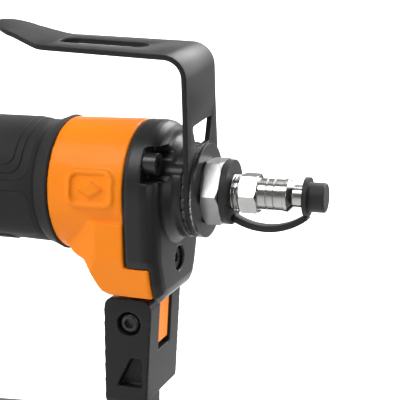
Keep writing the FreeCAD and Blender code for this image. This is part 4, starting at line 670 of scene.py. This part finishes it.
# ---- handle ----------------------------------------------------------------
@dataclass
class Grip:
    """The rubber sleeve with its raised panels."""

    start: float = 84.0
    end: float = 238.0
    radius: float = 25.0
    core: float = 21.55
    seam: float = 231.0
    flare_radius: float = 27.1
    panel_start: float = 97.0
    panel_end: float = 229.4
    skin: float = 0.55

    def outline(self) -> list[tuple[float, float]]:
        """Return the sleeve's outline, with the seam of its end band."""
        r = self.radius - self.skin
        return [
            (self.start, self.core), (self.start, r + 1.0), (self.start + 0.6, r + 1.6),
            (self.start + 5.2, r + 1.6), (self.start + 6.2, r + 1.1), (self.start + 6.8, r + 0.1),
            (self.start + 8.0, r), (self.seam - 12.0, r), (self.seam - 0.7, r + 0.35),
            (self.seam - 0.3, r), (self.seam, r - 0.25), (self.seam + 0.4, r + 0.1),
            (self.seam + 0.9, r + 0.65), (self.seam + 3.2, r + 1.35), (self.end - 0.7, self.flare_radius),
            (self.end, self.flare_radius - 0.5), (self.end, self.core),
        ]

    def panel(self, near: float, far: float, start: float, end: float, lift: float, thickness: float,
              corner: float) -> bmesh.types.BMesh:
        """Make one raised panel that follows the sleeve.

        Args:
            near: The angle where it starts, in degrees from -Y up.
            far: The angle where it stops.
            start: Its front end along the handle.
            end: Its rear end along the handle.
            lift: How far above the sleeve's skin its underside lies.
            thickness: Its thickness.
            corner: The radius of its corners.

        Returns:
            The panel.
        """
        radius = self.radius - self.skin + lift
        width = math.radians(far - near) * radius
        bm = plate(end - start, width, corner, thickness, 0.35)
        sliced(bm, Vector((0, 1, 0)), -width / 2, width / 2, 1.6)
        wrapped(bm, radius, (near + far) / 2)
        bmesh.ops.translate(bm, vec=((start + end) / 2, 0, 0), verts=bm.verts)
        return bm

    def build(self, shop: Workshop) -> None:
        """Build the sleeve and its panels."""
        shop.place(lathe(self.outline(), 128), "grip_sleeve_rubber", GRIP_RUBBER, "grip_sleeve",
                   Frame.HANDLE, ["grip_sleeve"], 50.0)
        layers = [
            ("back", 9.0, 171.0, self.panel_end, -0.3, 0.75, 6.0),
            ("back_middle", 15.5, 164.5, self.panel_end - 4.0, 0.35, 0.6, 5.0),
            ("back_inner", 22.5, 157.5, self.panel_end - 7.0, 0.85, 0.5, 4.0),
            ("side_near", -54.0, -1.5, self.panel_end, -0.3, 0.8, 4.0),
            ("side_far", 181.5, 234.0, self.panel_end, -0.3, 0.8, 4.0),
        ]
        for name, near, far, end, lift, thickness, corner in layers:
            bm = self.panel(near, far, self.panel_start, end, lift, thickness, corner)
            shop.place(bm, "grip_panel_" + name, GRIP_RUBBER, "grip_sleeve", Frame.HANDLE, sharp=60.0)
        for index in range(7):
            start = self.panel_start + 12.0 + index * 16.0
            bm = self.panel(-82.0, -60.0, start, start + 10.0, -0.3, 0.75, 3.0)
            shop.place(bm, f"grip_finger_pad_{index + 1}", GRIP_RUBBER, "grip_sleeve", Frame.HANDLE,
                       sharp=60.0)


@dataclass
class Housing:
    """The light casting: the barrel and neck in front, the collar behind."""

    split: float = 205.0
    front_voxel: float = 1.15
    rear_voxel: float = 0.5

    def half(self, shop: Workshop, rear: bool) -> bmesh.types.BMesh:
        """Cut the casting under the grip and keep one end, closed.

        Args:
            shop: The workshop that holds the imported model.
            rear: Whether the collar's end is kept.

        Returns:
            That end of the casting, in metres.
        """
        bm = shop.merged("main_housing")
        frame = handle_frame()
        normal = frame.to_3x3() @ Vector((1, 0, 0))
        bmesh.ops.bisect_plane(bm, geom=bm.verts[:] + bm.edges[:] + bm.faces[:], dist=1e-7,
                               plane_co=frame @ Vector((self.split * MM, 0, 0)), plane_no=normal,
                               clear_inner=rear, clear_outer=not rear)
        rim = [edge for edge in bm.edges if edge.is_boundary]
        bmesh.ops.triangle_fill(bm, edges=rim, use_dissolve=False)
        return bm

    def build(self, shop: Workshop) -> None:
        """Build both ends of the casting."""
        shop.cast(self.half(shop, True), "collar_casting", ORANGE_COAT, "main_housing", self.rear_voxel, 4)
        shop.cast(self.half(shop, False), "barrel_casting", ORANGE_COAT, "main_housing", self.front_voxel, 3)


@dataclass
class RearEnd:
    """The black rear cap, the belt hook and the pieces clamped between them."""

    def build(self, shop: Workshop) -> None:
        """Build the cap and the hook."""
        shop.cast(shop.merged("rear_cap"), "rear_cap_moulding", CAP_PLASTIC, "rear_cap", 0.45, 3)
        shop.eased("belt_hook", BLACK_COAT, 0.4)
        shop.dress(BLACK_STEEL, "rear_cap_bolts", "flat_washer", "detent_ring")
        shop.dress(ZINC_PLATE, "lock_washer", "inlet_bushing")
        shop.dress(SEAL_RUBBER, "rear_cap_gasket")


@dataclass
class AirInlet:
    """The air plug with its thread, and the tethered dust cap."""

    thread_start: float = 304.9
    thread_end: float = 308.3
    thread_radius: float = 6.5
    pitch: float = 1.13

    def thread(self) -> bmesh.types.BMesh:
        """Make the few turns of thread that show in front of the hexagon."""
        outline = [(self.thread_start, 5.6)]
        turns = int((self.thread_end - self.thread_start) / self.pitch)
        for turn in range(turns):
            at = self.thread_start + turn * self.pitch
            outline += [(at + 0.08, self.thread_radius), (at + self.pitch * 0.4, self.thread_radius + 0.5),
                        (at + self.pitch * 0.6, self.thread_radius + 0.5),
                        (at + self.pitch - 0.08, self.thread_radius)]
        outline += [(self.thread_start + turns * self.pitch, 5.6)]
        return lathe(outline, 64)

    def build(self, shop: Workshop) -> None:
        """Build the thread and dress the plug, the cap and its strap."""
        shop.place(self.thread(), "plug_thread", BRIGHT_NICKEL, "plug_nipple", Frame.HANDLE)
        shop.dress(BRIGHT_NICKEL, "plug_nipple")
        shop.eased("tether_strap", DUST_RUBBER, 0.5)
        shop.dress(DUST_RUBBER, "dust_cap", "tether_ring")


@dataclass
class TriggerGroup:
    """The trigger, its pin and its valve."""

    def build(self, shop: Workshop) -> None:
        """Dress the trigger group."""
        shop.dress(BLACK_COAT, "trigger")
        shop.dress(TOOL_STEEL, "trigger_pin", "trigger_stem")
        shop.dress(VALVE_BRASS, "trigger_valve")


@dataclass
class Bracket:
    """The forked bracket under the collar."""

    def build(self, shop: Workshop) -> None:
        """Build the bracket and dress its screw."""
        shop.cast(shop.merged("magazine_bracket"), "bracket_casting", BLACK_COAT, "magazine_bracket", 0.5, 2)
        shop.dress(BLACK_STEEL, "bracket_screw")
        shop.dress(ZINC_PLATE, "bracket_nut")


# ---- driver ----------------------------------------------------------------
@dataclass
class Head:
    """The cylinder, the piston and the valve under the head cap."""

    def build(self, shop: Workshop) -> None:
        """Dress the head's parts."""
        shop.dress(BARE_ALUMINIUM, "cylinder_sleeve", "piston")
        shop.dress(SEAL_RUBBER, "sleeve_seal", "piston_ring", "head_valve_ring", "head_cap_gasket")
        shop.dress(TOOL_STEEL, "driver_blade", "head_valve_spring")
        shop.dress(BUMPER_URETHANE, "bumper", "head_valve_seal")
        shop.dress(CAP_PLASTIC, "head_valve")
        shop.dress(TRIM_PLASTIC, "exhaust_deflector")
        shop.dress(SCREW_STEEL, "deflector_screw")
        shop.dress(BLACK_STEEL, "head_cap_bolts")
        shop.cast(shop.merged("head_cap"), "head_cap_casting", BLACK_COAT, "head_cap", 0.7, 3)


@dataclass
class Nose:
    """The nose, its door and latch, and the contact arm."""

    def build(self, shop: Workshop) -> None:
        """Dress the nose and its moving pieces."""
        shop.dress(TOOL_STEEL, "nose_body", "nose_door", "door_hinge_pin", "latch_pin")
        shop.dress(BLACK_STEEL, "nose_bolts", "depth_wheel")
        shop.dress(ZINC_PLATE, "latch_lever")
        shop.dress(BLACK_COAT, "contact_arm")
        shop.dress(SCREW_STEEL, "contact_arm_screws")


@dataclass
class Magazine:
    """The cleat magazine with ribs along its sides, and the pusher in it."""

    start: float = 44.0
    end: float = 268.0
    half_width: float = 11.0
    ribs: tuple[float, ...] = (13.0, 52.0, 57.0)
    rib_height: float = 1.8

    def build(self, shop: Workshop) -> None:
        """Build the ribs and dress the magazine."""
        for number, height in enumerate(self.ribs):
            for side in (-1, 1):
                bm = plate(self.end - self.start, self.rib_height, 0.7, 0.5, 0.25)
                turn = Matrix.Rotation(-side * math.pi / 2, 4, "X")
                bmesh.ops.transform(bm, matrix=turn, verts=bm.verts)
                bmesh.ops.translate(bm, vec=((self.start + self.end) / 2, side * self.half_width, height),
                                    verts=bm.verts)
                hand = "left" if side > 0 else "right"
                shop.place(bm, f"magazine_rib_{hand}_{number + 1}", BLACK_ALUMINIUM, "magazine_body",
                           Frame.DRIVER)
        shop.dress(BLACK_ALUMINIUM, "magazine_body")
        shop.dress(TOOL_STEEL, "magazine_rail", "pusher_blade", "pusher_spring")
        shop.dress(BLACK_STEEL, "magazine_screws")
        shop.dress(TRIM_PLASTIC, "magazine_end_cap", "pusher", "pusher_knob")


@dataclass
class Shoe:
    """The floor shoe with its struts and clamping knobs."""

    def build(self, shop: Workshop) -> None:
        """Dress the shoe."""
        shop.dress(BARE_ALUMINIUM, "shoe_plate")
        shop.dress(SOLE_PLASTIC, "sole_pad")
        shop.dress(BLACK_STEEL, "shoe_screws")
        shop.dress(BLACK_COAT, "shoe_struts")
        shop.dress(SCREW_STEEL, "height_bolts")
        shop.dress(TRIM_PLASTIC, "height_knob_left", "height_knob_right")


# ---- studio ----------------------------------------------------------------
@dataclass
class Studio:
    """A pale floor, soft lights and the camera."""

    target: float = 291.0
    distance: float = 428.0
    yaw: float = 18.8
    elevation: float = 11.4
    lens: float = 99.0
    shift: float = -0.026
    floor: Colour = (0.86, 0.86, 0.86)
    sky: float = 0.24
    wash_place: tuple[float, float, float] = (0.0, 2.0, 1.6)
    wash_size: float = 3.5
    wash_power: float = 175.0
    lamps: list[tuple[str, tuple[float, float, float], float, float]] = field(default_factory=lambda: [
        ("key", (-0.35, -0.60, 0.95), 0.55, 9.0),
        ("front", (0.85, -0.95, 0.25), 0.6, 3.2),
        ("rim", (0.15, 0.90, 0.70), 0.6, 6.0),
    ])

    def aim(self) -> tuple[Vector, Vector, Vector, Vector]:
        """Return the point looked at, and the camera's right, up and back axes."""
        frame = handle_frame()
        turn = frame.to_3x3()
        yaw = math.radians(self.yaw)
        rise = math.radians(self.elevation)
        right = turn @ Vector((math.cos(yaw), math.sin(yaw), 0.0))
        level = math.cos(rise)
        back = turn @ Vector((math.sin(yaw) * level, -math.cos(yaw) * level, math.sin(rise)))
        return frame @ Vector((self.target * MM, 0, 0)), right, back.cross(right), back

    def set_camera(self) -> None:
        """Put the camera beside the handle's rear end."""
        target, right, up, back = self.aim()
        data = bpy.data.cameras.new("view")
        data.lens = self.lens
        data.sensor_width = 36.0
        data.shift_y = self.shift
        data.clip_start = 0.01
        camera = bpy.data.objects.new("view", data)
        bpy.context.scene.collection.objects.link(camera)
        turn = Matrix((right, up, back)).transposed().to_4x4()
        camera.matrix_world = Matrix.Translation(target + back * self.distance * MM) @ turn
        bpy.context.scene.camera = camera

    def set_lamps(self) -> None:
        """Hang soft lamps round the rear end of the handle."""
        target = self.aim()[0]
        turn = handle_frame().to_3x3()
        for name, way, size, power in self.lamps:
            data = bpy.data.lights.new(name, "AREA")
            data.shape = "DISK"
            data.size = size
            data.energy = power
            lamp = bpy.data.objects.new(name, data)
            bpy.context.scene.collection.objects.link(lamp)
            direction = turn @ Vector(way)
            lamp.location = target + direction
            lamp.rotation_euler = direction.to_track_quat("Z", "Y").to_euler()

    def set_wash(self) -> None:
        """Light the floor behind the nailer so that it turns white."""
        data = bpy.data.lights.new("wash", "AREA")
        data.size = self.wash_size
        data.energy = self.wash_power
        lamp = bpy.data.objects.new("wash", data)
        lamp.location = self.wash_place
        bpy.context.scene.collection.objects.link(lamp)

    def set_floor(self) -> None:
        """Lay the floor and light the room evenly."""
        bm = bmesh.new()
        bmesh.ops.create_grid(bm, x_segments=2, y_segments=2, size=6.0)
        mesh = bpy.data.meshes.new("floor")
        bm.to_mesh(mesh)
        bm.free()
        floor = bpy.data.objects.new("floor", mesh)
        bpy.context.scene.collection.objects.link(floor)
        graph = Graph("pale_floor")
        graph.feed(graph.shader.inputs["Base Color"], (*self.floor, 1.0))
        graph.feed(graph.shader.inputs["Roughness"], 0.9)
        mesh.materials.append(graph.material)
        world = bpy.data.worlds.new("room")
        world.use_nodes = True
        backdrop = world.node_tree.nodes["Background"]
        backdrop.inputs["Color"].default_value = (1.0, 1.0, 1.0, 1.0)
        backdrop.inputs["Strength"].default_value = self.sky
        bpy.context.scene.world = world

    def build(self) -> None:
        """Set up the whole studio."""
        bpy.context.scene.view_settings.view_transform = "Standard"
        self.set_floor()
        self.set_lamps()
        self.set_wash()
        self.set_camera()


def main() -> None:
    """Build every sub-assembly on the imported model."""
    logging.basicConfig(level=logging.INFO, format="%(name)s: %(message)s")
    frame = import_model()
    shop = Workshop(frame)
    parts = (Housing(), Grip(), RearEnd(), AirInlet(), TriggerGroup(), Bracket(), Head(), Nose(), Magazine(),
             Shoe())
    for part in parts:
        part.build(shop)
        LOG.info("%s built", type(part).__name__)
    Studio().build()


if __name__ == "__main__":
    main()
